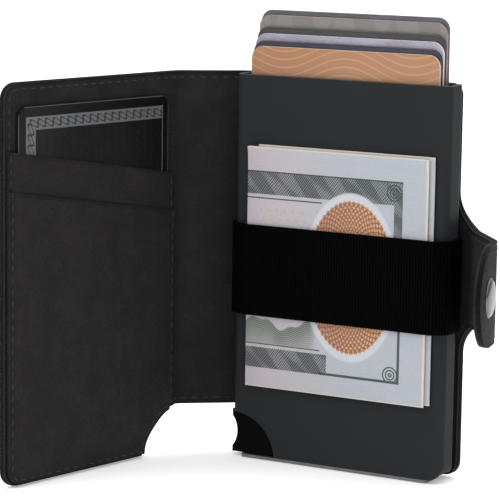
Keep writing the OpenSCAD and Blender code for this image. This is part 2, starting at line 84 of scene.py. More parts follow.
class Graph:
    """A node tree with short ways to add nodes and join them."""

    def __init__(self, tree: bpy.types.NodeTree) -> None:
        """Keeps the tree.

        Args:
            tree: the material's or group's node tree.
        """
        self.tree = tree

    def feed(self, socket: bpy.types.NodeSocket, value: object) -> None:
        """Links a socket to another, or sets its value.

        Args:
            socket: the input to set.
            value: an output socket, a number, a vector or a colour.
        """
        if isinstance(value, bpy.types.NodeSocket):
            self.tree.links.new(value, socket)
        elif socket.type == "RGBA" and len(value) == 3:
            socket.default_value = (*value, 1.0)
        else:
            socket.default_value = value

    def add(self, kind: str, inputs: dict[str, object], **settings: object) -> bpy.types.Node:
        """Adds a node.

        Args:
            kind: the node's type name, without its ShaderNode prefix.
            inputs: what each named input is given.
            settings: properties of the node itself.

        Returns:
            The new node.
        """
        node = self.tree.nodes.new("ShaderNode" + kind)
        for key, value in settings.items():
            setattr(node, key, value)
        for key, value in inputs.items():
            self.feed(node.inputs[key], value)
        return node

    def calc(self, operation: str, *values: object, clamp: bool = False) -> bpy.types.NodeSocket:
        """Adds a math node.

        Args:
            operation: the math node's operation.
            values: its inputs in order.
            clamp: whether the result stays from 0 to 1.

        Returns:
            The result's socket.
        """
        node = self.tree.nodes.new("ShaderNodeMath")
        node.operation = operation
        node.use_clamp = clamp
        for index, value in enumerate(values):
            self.feed(node.inputs[index], value)
        return node.outputs[0]

    def mix(self, share: object, a: object, b: object) -> bpy.types.NodeSocket:
        """Mixes two colours.

        Args:
            share: 0 gives a, 1 gives b.
            a: the first colour or socket.
            b: the second colour or socket.

        Returns:
            The mixed colour's socket.
        """
        node = self.tree.nodes.new("ShaderNodeMix")
        node.data_type = "RGBA"
        node.clamp_factor = True
        self.feed(node.inputs[0], share)
        self.feed(node.inputs[6], a)
        self.feed(node.inputs[7], b)
        return node.outputs[2]

    def ramp(self, value: object, low: float, high: float, start: float = 0.0,
             end: float = 1.0) -> bpy.types.NodeSocket:
        """Maps a value smoothly from one range to another, and holds it there.

        Args:
            value: what is mapped.
            low: the value that gives start.
            high: the value that gives end.
            start: the result at low.
            end: the result at high.

        Returns:
            The result's socket.
        """
        node = self.add("MapRange", {"Value": value, "From Min": low, "From Max": high,
                                     "To Min": start, "To Max": end},
                        interpolation_type="SMOOTHSTEP")
        return node.outputs["Result"]

    def noise(self, vector: object, scale: object, detail: float = 2.0,
              rough: float = 0.5) -> bpy.types.NodeSocket:
        """Adds a noise texture and returns its factor."""
        node = self.add("TexNoise", {"Vector": vector, "Scale": scale, "Detail": detail,
                                     "Roughness": rough})
        return node.outputs[0]

    def spaces(self) -> tuple[bpy.types.NodeSocket, bpy.types.NodeSocket]:
        """Returns the Object and UV coordinate sockets of a new coordinate node."""
        node = self.tree.nodes.new("ShaderNodeTexCoord")
        return node.outputs["Object"], node.outputs["UV"]

    def split(self, vector: object, scale: float = 1.0) -> list[bpy.types.NodeSocket]:
        """Splits a vector in three, each multiplied by scale."""
        node = self.add("SeparateXYZ", {"Vector": vector})
        return [self.calc("MULTIPLY", out, scale) for out in node.outputs]

    def attribute(self, name: str) -> bpy.types.NodeSocket:
        """Returns the value of one of the mesh's own attributes."""
        return self.add("Attribute", {}, attribute_name=name).outputs["Fac"]

    def use(self, effect: "Effect", inputs: dict[str, object]) -> bpy.types.Node:
        """Places a shared effect.

        Args:
            effect: which effect.
            inputs: what each of its named inputs is given.

        Returns:
            The group node, whose sockets come with its tree.
        """
        node = self.tree.nodes.new("ShaderNodeGroup")
        node.node_tree = EFFECTS.tree(effect)
        for key, value in inputs.items():
            self.feed(node.inputs[key], value)
        return node


class Effect(Enum):
    """The shared surface effects."""

    GRAIN = "leather_grain"
    HANDLING = "handling_marks"
    EDGE_WEAR = "edge_wear"
    LINES = "fine_lines"
    FIBRE = "fibre"


class EffectLibrary:
    """Builds each shared effect once, as a node group with named sockets."""

    def __init__(self) -> None:
        """Starts with no group built."""
        self.trees: dict[Effect, bpy.types.NodeTree] = {}

    def tree(self, effect: Effect) -> bpy.types.NodeTree:
        """Returns an effect's group, and builds it the first time.

        Args:
            effect: which effect.

        Returns:
            The node group.
        """
        if effect not in self.trees:
            makers = {Effect.GRAIN: self.grain, Effect.HANDLING: self.handling,
                      Effect.EDGE_WEAR: self.edge_wear, Effect.LINES: self.lines,
                      Effect.FIBRE: self.fibre}
            self.trees[effect] = makers[effect](effect.value)
        return self.trees[effect]

    @staticmethod
    def start(name: str, inputs: dict[str, str], outputs: Sequence[str]) -> tuple:
        """Starts a group.

        Args:
            name: the group's name.
            inputs: each input's name and kind, Vector or Float.
            outputs: the outputs' names, all Float.

        Returns:
            The tree, a graph on it, the group's inputs and the node that takes its outputs.
        """
        tree = bpy.data.node_groups.new(name, "ShaderNodeTree")
        for key, kind in inputs.items():
            tree.interface.new_socket(key, in_out="INPUT", socket_type="NodeSocket" + kind)
        for key in outputs:
            tree.interface.new_socket(key, in_out="OUTPUT", socket_type="NodeSocketFloat")
        source = tree.nodes.new("NodeGroupInput")
        sink = tree.nodes.new("NodeGroupOutput")
        return tree, Graph(tree), source.outputs, sink

    def grain(self, name: str) -> bpy.types.NodeTree:
        """Builds leather grain: pebbles parted by creases, with fine pores and slow tone."""
        tree, g, given, sink = self.start(name, {"Vector": "Vector", "Scale": "Float"},
                                          ("Height", "Tone"))
        warp = g.add("TexNoise", {"Vector": given["Vector"], "Detail": 1.0,
                                  "Scale": g.calc("MULTIPLY", given["Scale"], 0.3)})
        shift = g.add("VectorMath", {}, operation="SCALE")
        g.feed(shift.inputs[0], warp.outputs["Color"])
        g.feed(shift.inputs["Scale"], g.calc("DIVIDE", 1.6, given["Scale"]))
        moved = g.add("VectorMath", {}, operation="ADD")
        g.feed(moved.inputs[0], given["Vector"])
        g.feed(moved.inputs[1], shift.outputs[0])
        cells = g.add("TexVoronoi", {"Vector": moved.outputs[0], "Scale": given["Scale"]},
                      feature="DISTANCE_TO_EDGE")
        pebble = g.ramp(cells.outputs["Distance"], 0.0, 0.28)
        pores = g.noise(given["Vector"], g.calc("MULTIPLY", given["Scale"], 3.1), 3.0, 0.65)
        height = g.calc("ADD", g.calc("MULTIPLY", pebble, 0.75), g.calc("MULTIPLY", pores, 0.25))
        g.feed(sink.inputs["Height"], height)
        slow = g.noise(given["Vector"], g.calc("MULTIPLY", given["Scale"], 0.05), 3.0, 0.6)
        g.feed(sink.inputs["Tone"], g.ramp(slow, 0.3, 0.7))
        return tree

    def handling(self, name: str) -> bpy.types.NodeTree:
        """Builds the marks of handling: slow smudges and hair scratches."""
        tree, g, given, sink = self.start(name, {"Vector": "Vector", "Scale": "Float"},
                                          ("Smudge", "Scratch"))
        slow = g.noise(given["Vector"], given["Scale"], 4.0, 0.6)
        g.feed(sink.inputs["Smudge"], g.ramp(slow, 0.35, 0.68))
        stretched = g.add("Mapping", {"Vector": given["Vector"], "Scale": (1.0, 1.0, 0.06),
                                      "Rotation": (0.35, 0.5, 0.2)})
        hair = g.noise(stretched.outputs[0], g.calc("MULTIPLY", given["Scale"], 40.0), 1.0, 0.5)
        g.feed(sink.inputs["Scratch"], g.ramp(hair, 0.68, 0.75))
        return tree

    def edge_wear(self, name: str) -> bpy.types.NodeTree:
        """Builds worn edges: the rim mask, broken up by noise."""
        tree, g, given, sink = self.start(
            name, {"Rim": "Float", "Vector": "Vector", "Scale": "Float"}, ("Mask",))
        broken = g.noise(given["Vector"], given["Scale"], 4.0, 0.7)
        grown = g.calc("ADD", given["Rim"], g.calc("MULTIPLY", broken, 0.8))
        g.feed(sink.inputs["Mask"], g.ramp(grown, 1.05, 1.45))
        return tree

    def lines(self, name: str) -> bpy.types.NodeTree:
        """Builds parallel lines across a coordinate: 1 on a line's middle, 0 between."""
        tree, g, given, sink = self.start(
            name, {"Along": "Float", "Pitch": "Float", "Width": "Float"}, ("Mask", "Wave"))
        place = g.calc("FRACT", g.calc("DIVIDE", given["Along"], given["Pitch"]))
        off = g.calc("ABSOLUTE", g.calc("SUBTRACT", place, 0.5))
        wide = g.calc("MULTIPLY", given["Width"], 0.5)
        inside = g.calc("SUBTRACT", wide, off)
        g.feed(sink.inputs["Mask"], g.calc("MULTIPLY_ADD", inside, 12.0, 0.5, clamp=True))
        angle = g.calc("MULTIPLY", place, math.tau)
        g.feed(sink.inputs["Wave"], g.calc("SINE", angle))
        return tree

    def fibre(self, name: str) -> bpy.types.NodeTree:
        """Builds short matted fibres for felt, thread, paper and foam."""
        tree, g, given, sink = self.start(name, {"Vector": "Vector", "Scale": "Float"},
                                          ("Height", "Tone"))
        long_way = g.add("Mapping", {"Vector": given["Vector"], "Scale": (1.0, 1.0, 0.25),
                                     "Rotation": (0.4, 0.9, 0.0)})
        cross_way = g.add("Mapping", {"Vector": given["Vector"], "Scale": (0.25, 1.0, 1.0),
                                      "Rotation": (0.0, 0.5, 0.7)})
        a = g.noise(long_way.outputs[0], given["Scale"], 2.0, 0.6)
        b = g.noise(cross_way.outputs[0], given["Scale"], 2.0, 0.6)
        g.feed(sink.inputs["Height"], g.calc("MAXIMUM", a, b))
        slow = g.noise(given["Vector"], g.calc("MULTIPLY", given["Scale"], 0.08), 3.0, 0.6)
        g.feed(sink.inputs["Tone"], slow)
        return tree


EFFECTS = EffectLibrary()


def new_surface(name: str, **constants: object) -> tuple[bpy.types.Material, Graph, bpy.types.Node]:
    """Makes a material with one Principled shader.

    Args:
        name: the material's name.
        constants: shader inputs with their spaces as underscores.

    Returns:
        The material, a graph on its tree and the shader node.
    """
    material = bpy.data.materials.new(name)
    material.use_nodes = True
    graph = Graph(material.node_tree)
    shader = material.node_tree.nodes["Principled BSDF"]
    for key, value in constants.items():
        graph.feed(shader.inputs[key.replace("_", " ")], value)
    return material, graph, shader


def add_bump(g: Graph, shader: bpy.types.Node, height: object, depth: float,
             strength: float = 1.0) -> None:
    """Gives a shader a bump.

    Args:
        g: the graph that the shader is on.
        shader: the Principled shader.
        height: the height socket, from 0 to 1.
        depth: how deep a full step is, in metres.
        strength: the bump's strength.
    """
    bump = g.add("Bump", {"Height": height, "Distance": depth, "Strength": strength})
    g.feed(shader.inputs["Normal"], bump.outputs["Normal"])


# ---- finishes ----


@dataclass(frozen=True)
class Leather:
    """Dyed leather with a pebbled grain, burnished rims and a stitch groove, with painted shade in the
    grain's creases and in the groove.
    """

    name: str
    dark: Colour
    light: Colour
    worn: Colour
    cell: float
    depth: float
    roughness: float
    specular: float
    sheen: float = 0.03

    def material(self) -> bpy.types.Material:
        """Returns the finish as a material."""
        material, g, shader = new_surface(self.name, Sheen_Weight=self.sheen, Sheen_Roughness=0.4,
                                          Specular_IOR_Level=self.specular)
        place, _ = g.spaces()
        grain = g.use(Effect.GRAIN, {"Vector": place, "Scale": 1.0 / (self.cell * MM)})
        marks = g.use(Effect.HANDLING, {"Vector": place, "Scale": 60.0})
        rim = g.attribute("rim")
        wear = g.use(Effect.EDGE_WEAR, {"Rim": rim, "Vector": place, "Scale": 900.0})
        groove = g.attribute("groove")
        high = grain.outputs["Height"]
        shade = g.mix(grain.outputs["Tone"], self.dark, self.light)
        # painted shade: the creases between the grain's pebbles are coloured darker
        crease_shaded = g.mix(g.ramp(high, 0.55, 0.1), shade, tuple(0.62 * c for c in self.dark))
        # painted shade: the stitch groove is coloured darker
        sunk = g.mix(g.calc("MULTIPLY", groove, 0.55), crease_shaded, tuple(0.45 * c for c in self.dark))
        painted = g.mix(g.ramp(rim, 0.7, 0.95), sunk, tuple(0.3 * c for c in self.dark))
        g.feed(shader.inputs["Base Color"],
               g.mix(g.calc("MULTIPLY", wear.outputs["Mask"], 0.25), painted, self.worn))
        rough = g.calc("MULTIPLY_ADD", marks.outputs["Smudge"], 0.09, self.roughness - 0.05)
        rough = g.calc("MULTIPLY_ADD", high, -0.12, g.calc("ADD", rough, 0.08))
        g.feed(shader.inputs["Roughness"], g.calc("MULTIPLY_ADD", rim, -0.1, rough))
        add_bump(g, shader, high, self.depth * MM)
        return material


@dataclass(frozen=True)
class Anodised:
    """Bead-blasted anodised aluminium, rubbed lighter along the mouth."""

    name: str
    colour: Colour
    bare: Colour
    mouth: float

    def material(self) -> bpy.types.Material:
        """Returns the finish as a material."""
        material, g, shader = new_surface(self.name, Specular_IOR_Level=0.02)
        place, _ = g.spaces()
        marks = g.use(Effect.HANDLING, {"Vector": place, "Scale": 45.0})
        blast = g.noise(place, 5200.0, 2.0, 0.6)
        up = g.split(place, 1000.0)[2]
        rubbed = g.use(Effect.EDGE_WEAR, {"Rim": g.ramp(up, self.mouth - 0.5, self.mouth),
                                          "Vector": place, "Scale": 700.0})
        tone = g.mix(g.calc("MULTIPLY", marks.outputs["Smudge"], 0.5), self.colour,
                     tuple(1.12 * c for c in self.colour))
        speck = g.mix(g.ramp(blast, 0.45, 0.75, 0.0, 0.35), tone,
                      tuple(1.35 * c for c in self.colour))
        g.feed(shader.inputs["Base Color"],
               g.mix(g.calc("MULTIPLY", rubbed.outputs["Mask"], 0.5), speck, self.bare))
        g.feed(shader.inputs["Metallic"], g.calc("MULTIPLY_ADD", rubbed.outputs["Mask"], 0.5, 0.02))
        rough = g.calc("MULTIPLY_ADD", marks.outputs["Smudge"], 0.07, 0.40)
        g.feed(shader.inputs["Roughness"],
               g.calc("MULTIPLY_ADD", marks.outputs["Scratch"], -0.05, rough))
        add_bump(g, shader, blast, 0.00001, 0.5)
        return material


@dataclass(frozen=True)
class Metal:
    """Bare or plated metal, brushed along one way or polished."""

    name: str
    colour: Colour
    roughness: float
    brushed: Colour
    depth: float

    def material(self) -> bpy.types.Material:
        """Returns the finish as a material; brushed is the noise's stretch along each axis."""
        material, g, shader = new_surface(self.name)
        place, _ = g.spaces()
        marks = g.use(Effect.HANDLING, {"Vector": place, "Scale": 220.0})
        way = g.add("Mapping", {"Vector": place, "Scale": self.brushed})
        hair = g.noise(way.outputs[0], 3000.0, 3.0, 0.6)
        g.feed(shader.inputs["Base Color"],
               g.mix(marks.outputs["Smudge"], self.colour, tuple(0.82 * c for c in self.colour)))
        g.feed(shader.inputs["Metallic"], g.ramp(marks.outputs["Smudge"], 0.0, 1.0, 1.0, 0.94))
        rough = g.calc("MULTIPLY_ADD", hair, 0.12, self.roughness - 0.06)
        g.feed(shader.inputs["Roughness"],
               g.calc("MULTIPLY_ADD", marks.outputs["Smudge"], 0.06, rough))
        add_bump(g, shader, hair, self.depth * MM, 0.6)
        return material


@dataclass(frozen=True)
class Plastic:
    """Moulded plastic with a fine spark texture, shinier where fingers rub it."""

    name: str
    colour: Colour
    roughness: float

    def material(self) -> bpy.types.Material:
        """Returns the finish as a material."""
        material, g, shader = new_surface(self.name, Specular_IOR_Level=0.03)
        place, _ = g.spaces()
        marks = g.use(Effect.HANDLING, {"Vector": place, "Scale": 120.0})
        spark = g.noise(place, 4200.0, 3.0, 0.7)
        g.feed(shader.inputs["Base Color"],
               g.mix(g.ramp(spark, 0.4, 0.7), self.colour, tuple(1.5 * c for c in self.colour)))
        g.feed(shader.inputs["Roughness"],
               g.calc("MULTIPLY_ADD", marks.outputs["Smudge"], -0.12, self.roughness))
        add_bump(g, shader, spark, 0.00002, 0.7)
        return material


@dataclass(frozen=True)
class Fibrous:
    """Felt, foam tape or thread: matted fibres with a soft sheen."""

    name: str
    dark: Colour
    light: Colour
    scale: float
    depth: float
    sheen: float = 0.3

    def material(self) -> bpy.types.Material:
        """Returns the finish as a material."""
        material, g, shader = new_surface(self.name, Sheen_Weight=self.sheen,
                                          Specular_IOR_Level=0.2)
        place, _ = g.spaces()
        fibre = g.use(Effect.FIBRE, {"Vector": place, "Scale": self.scale})
        g.feed(shader.inputs["Base Color"],
               g.mix(g.ramp(fibre.outputs["Height"], 0.35, 0.75), self.dark, self.light))
        g.feed(shader.inputs["Roughness"], g.ramp(fibre.outputs["Tone"], 0.3, 0.7, 0.82, 0.95))
        add_bump(g, shader, fibre.outputs["Height"], self.depth * MM)
        return material


@dataclass(frozen=True)
class Elastic:
    """Woven elastic: warp ribs across the band and a fine knit between them, with painted highlights on the
    rib crests.
    """

    name: str
    dark: Colour
    light: Colour
    rib: float

    def material(self) -> bpy.types.Material:
        """Returns the finish as a material."""
        material, g, shader = new_surface(self.name, Specular_IOR_Level=0.02)
        place, flat = g.spaces()
        along, up, _ = g.split(flat, MAP)
        ribs = g.use(Effect.LINES, {"Along": along, "Pitch": self.rib, "Width": 0.5})
        knit = g.use(Effect.LINES, {"Along": up, "Pitch": 0.42, "Width": 0.5})
        fuzz = g.use(Effect.FIBRE, {"Vector": place, "Scale": 5000.0})
        weave = g.calc("MULTIPLY", ribs.outputs["Wave"], knit.outputs["Wave"])
        height = g.calc("MULTIPLY_ADD", weave, 0.3, g.calc("MULTIPLY", fuzz.outputs["Height"], 0.6))
        # painted highlight: the rib crests and knit peaks are coloured lighter, with the fibre fuzz's own
        # tone mixed in
        crest_highlight = g.calc("MULTIPLY_ADD", ribs.outputs["Wave"], 0.45, g.calc("MULTIPLY", height, 0.6))
        g.feed(shader.inputs["Base Color"],
               g.mix(g.ramp(crest_highlight, -0.2, 0.8), self.dark, self.light))
        g.feed(shader.inputs["Roughness"], g.ramp(fuzz.outputs["Tone"], 0.3, 0.7, 0.8, 0.92))
        add_bump(g, shader, height, 0.00012)
        return material


class PrintDesign(Enum):
    """The generic prints on the plastic cards."""

    SHADED = "shaded"
    LOWER_BAND = "lower_band"
    FINE_WAVES = "fine_waves"
    PATCHES = "patches"
    PLAIN = "plain"


@dataclass(frozen=True)
class CardPrint:
    """A printed and laminated card face, drawn in millimetres on the card's own map."""

    name: str
    field_colour: Colour
    accent: Colour
    design: PrintDesign
    mottle: float = 0.15
    height: float = CARD_HEIGHT

    def material(self) -> bpy.types.Material:
        """Returns the finish as a material."""
        material, g, shader = new_surface(self.name, Coat_Roughness=0.12, Specular_IOR_Level=0.5)
        place, flat = g.spaces()
        across, up, _ = g.split(flat, MAP)
        marks = g.use(Effect.HANDLING, {"Vector": place, "Scale": 55.0})
        cloud = g.calc("MULTIPLY_ADD", g.noise(place, 1600.0, 2.0, 0.6), 0.5,
                       g.calc("MULTIPLY", g.noise(place, 130.0, 2.0, 0.5), 0.5))
        colour = g.mix(g.ramp(cloud, 0.4, 0.6, 0.0, self.mottle), self.field_colour, self.accent)
        colour = self.draw(g, colour, across, up)
        rubbed = g.use(Effect.EDGE_WEAR, {"Rim": g.attribute("rim"), "Vector": place,
                                          "Scale": 1300.0})
        g.feed(shader.inputs["Base Color"],
               g.mix(g.calc("MULTIPLY", rubbed.outputs["Mask"], 0.25), colour, (0.5, 0.48, 0.46)))
        rough = g.calc("MULTIPLY_ADD", marks.outputs["Smudge"], 0.12, 0.3)
        g.feed(shader.inputs["Roughness"],
               g.calc("MULTIPLY_ADD", marks.outputs["Scratch"], 0.12, rough))
        g.feed(shader.inputs["Coat Weight"], g.ramp(marks.outputs["Smudge"], 0.0, 1.0, 0.35, 0.2))
        add_bump(g, shader, g.noise(place, 900.0, 2.0, 0.5), 0.00001, 0.6)
        return material

    def draw(self, g: Graph, colour: bpy.types.NodeSocket, across: bpy.types.NodeSocket,
             up: bpy.types.NodeSocket) -> bpy.types.NodeSocket:
        """Draws the card's design over its field.

        Args:
            g: the material's graph.
            colour: the field's colour.
            across: millimetres from the card's left edge.
            up: millimetres from its lower edge.

        Returns:
            The finished print's colour.
        """
        if self.design is PrintDesign.SHADED:
            shaded = g.mix(g.ramp(across, 4.0, 50.0, 0.0, 0.6), colour, self.accent)
            swing = g.calc("SINE", g.calc("MULTIPLY", across, 0.17))
            line = g.use(Effect.LINES, {"Along": g.calc("MULTIPLY_ADD", swing, 2.6, up),
                                        "Pitch": 2.1, "Width": 0.2})
            return g.mix(g.calc("MULTIPLY", line.outputs["Mask"], 0.22), shaded,
                         (0.70, 0.48, 0.34))
        if self.design is PrintDesign.LOWER_BAND:
            band = g.calc("LESS_THAN", up, self.height - 6.4)
            return g.mix(band, colour, self.accent)
        if self.design is PrintDesign.FINE_WAVES:
            swing = g.calc("SINE", g.calc("MULTIPLY", across, 0.45))
            line = g.use(Effect.LINES, {"Along": g.calc("MULTIPLY_ADD", swing, 2.2, up),
                                        "Pitch": 1.6, "Width": 0.16})
            return g.mix(g.calc("MULTIPLY", line.outputs["Mask"], 0.3), colour, self.accent)
        if self.design is PrintDesign.PATCHES:
            slant = g.calc("MULTIPLY_ADD", up, 0.7, across)
            wide = g.calc("SINE", g.calc("MULTIPLY", slant, 0.33))
            narrow = g.calc("SINE", g.calc("MULTIPLY_ADD", across, -0.71, 1.2))
            patch = g.calc("MULTIPLY_ADD", wide, 0.5, g.calc("MULTIPLY", narrow, 0.5))
            return g.mix(g.ramp(patch, -0.05, 0.1, 0.0, 0.55), colour, self.accent)
        return colour


@dataclass(frozen=True)
class FiligreeCard:
    """A black card with a silver rule, a silver scroll border and a tone-on-tone field."""

    name: str
    black: Colour
    silver: Colour
    width: float = CARD_WIDTH
    height: float = CARD_HEIGHT
    margin: float = 2.7
    border: float = 3.3

    def material(self) -> bpy.types.Material:
        """Returns the finish as a material."""
        material, g, shader = new_surface(self.name, Coat_Roughness=0.3, Specular_IOR_Level=0.2)
        place, flat = g.spaces()
        across, up, _ = g.split(flat, MAP)
        left = g.calc("SUBTRACT", self.width, across)
        top = g.calc("SUBTRACT", self.height, up)
        edge = g.calc("MINIMUM", g.calc("MINIMUM", across, left), g.calc("MINIMUM", up, top))
        corner = g.calc("MINIMUM", left, top)
        along = g.calc("SUBTRACT", across, up)
        inside = g.calc("SUBTRACT", corner, self.margin + self.border / 2)
        wave = g.calc("MULTIPLY", g.calc("SINE", g.calc("MULTIPLY", along, 1.2)), 0.95)
        strands = g.calc("MINIMUM", g.calc("ABSOLUTE", g.calc("SUBTRACT", inside, wave)),
                         g.calc("ABSOLUTE", g.calc("ADD", inside, wave)))
        beads = g.calc("COSINE", g.calc("MULTIPLY", along, 2.4))
        beads = g.calc("MULTIPLY_ADD", g.calc("ABSOLUTE", inside), -2.2, beads)
        carved = g.calc("MAXIMUM", g.ramp(strands, 0.3, 0.16), g.ramp(beads, 0.1, 0.4))
        inner_side = g.calc("MULTIPLY", g.ramp(across, self.margin - 0.6, self.margin - 0.5),
                            g.ramp(up, self.margin - 0.6, self.margin - 0.5))
        band = self.ring(g, corner, self.margin, self.margin + self.border)
        band = g.calc("MULTIPLY", band, g.calc("MULTIPLY_ADD", carved, -0.82, 1.0))
        thin = g.calc("MULTIPLY", self.ring(g, g.calc("MINIMUM", across, up), self.margin - 0.5,
                                            self.margin - 0.25), g.ramp(corner, 2.4, 2.7))
        lace = g.calc("MULTIPLY", g.calc("MAXIMUM", band, thin), inner_side)
        rule = g.calc("MULTIPLY", self.ring(g, edge, 0.16, 0.3), 0.8)
        silver = g.calc("MAXIMUM", lace, rule)
        weave = g.use(Effect.LINES, {"Along": g.calc("MULTIPLY_ADD", g.calc(
            "SINE", g.calc("MULTIPLY", up, 2.4)), 0.35, across), "Pitch": 2.6, "Width": 0.4})
        dots = g.noise(place, 1700.0, 3.0, 0.7)
        tone = g.calc("MULTIPLY", g.calc("MULTIPLY_ADD", weave.outputs["Mask"], 0.7, 0.3),
                      g.ramp(dots, 0.45, 0.62))
        centre = g.ramp(corner, self.margin + self.border, self.margin + self.border + 0.2)
        field_colour = g.mix(g.calc("MULTIPLY", tone, centre), self.black,
                             tuple(4.0 * c for c in self.black))
        g.feed(shader.inputs["Base Color"], g.mix(silver, field_colour, self.silver))
        g.feed(shader.inputs["Metallic"], g.calc("MULTIPLY", silver, 0.35))
        marks = g.use(Effect.HANDLING, {"Vector": place, "Scale": 60.0})
        g.feed(shader.inputs["Roughness"],
               g.calc("MULTIPLY_ADD", marks.outputs["Smudge"], 0.12, 0.36))
        g.feed(shader.inputs["Coat Weight"], g.ramp(marks.outputs["Smudge"], 0.0, 1.0, 0.25, 0.1))
        height = g.calc("MAXIMUM", silver, g.calc("MULTIPLY", tone, 0.5))
        add_bump(g, shader, height, 0.00004, 0.8)
        return material

    @staticmethod
    def ring(g: Graph, edge: object, low: float, high: float) -> bpy.types.NodeSocket:
        """Returns 1 where the distance from the card's edge lies from low to high."""
        return g.calc("MULTIPLY", g.ramp(edge, low - 0.05, low + 0.05),
                      g.ramp(edge, high + 0.05, high - 0.05))


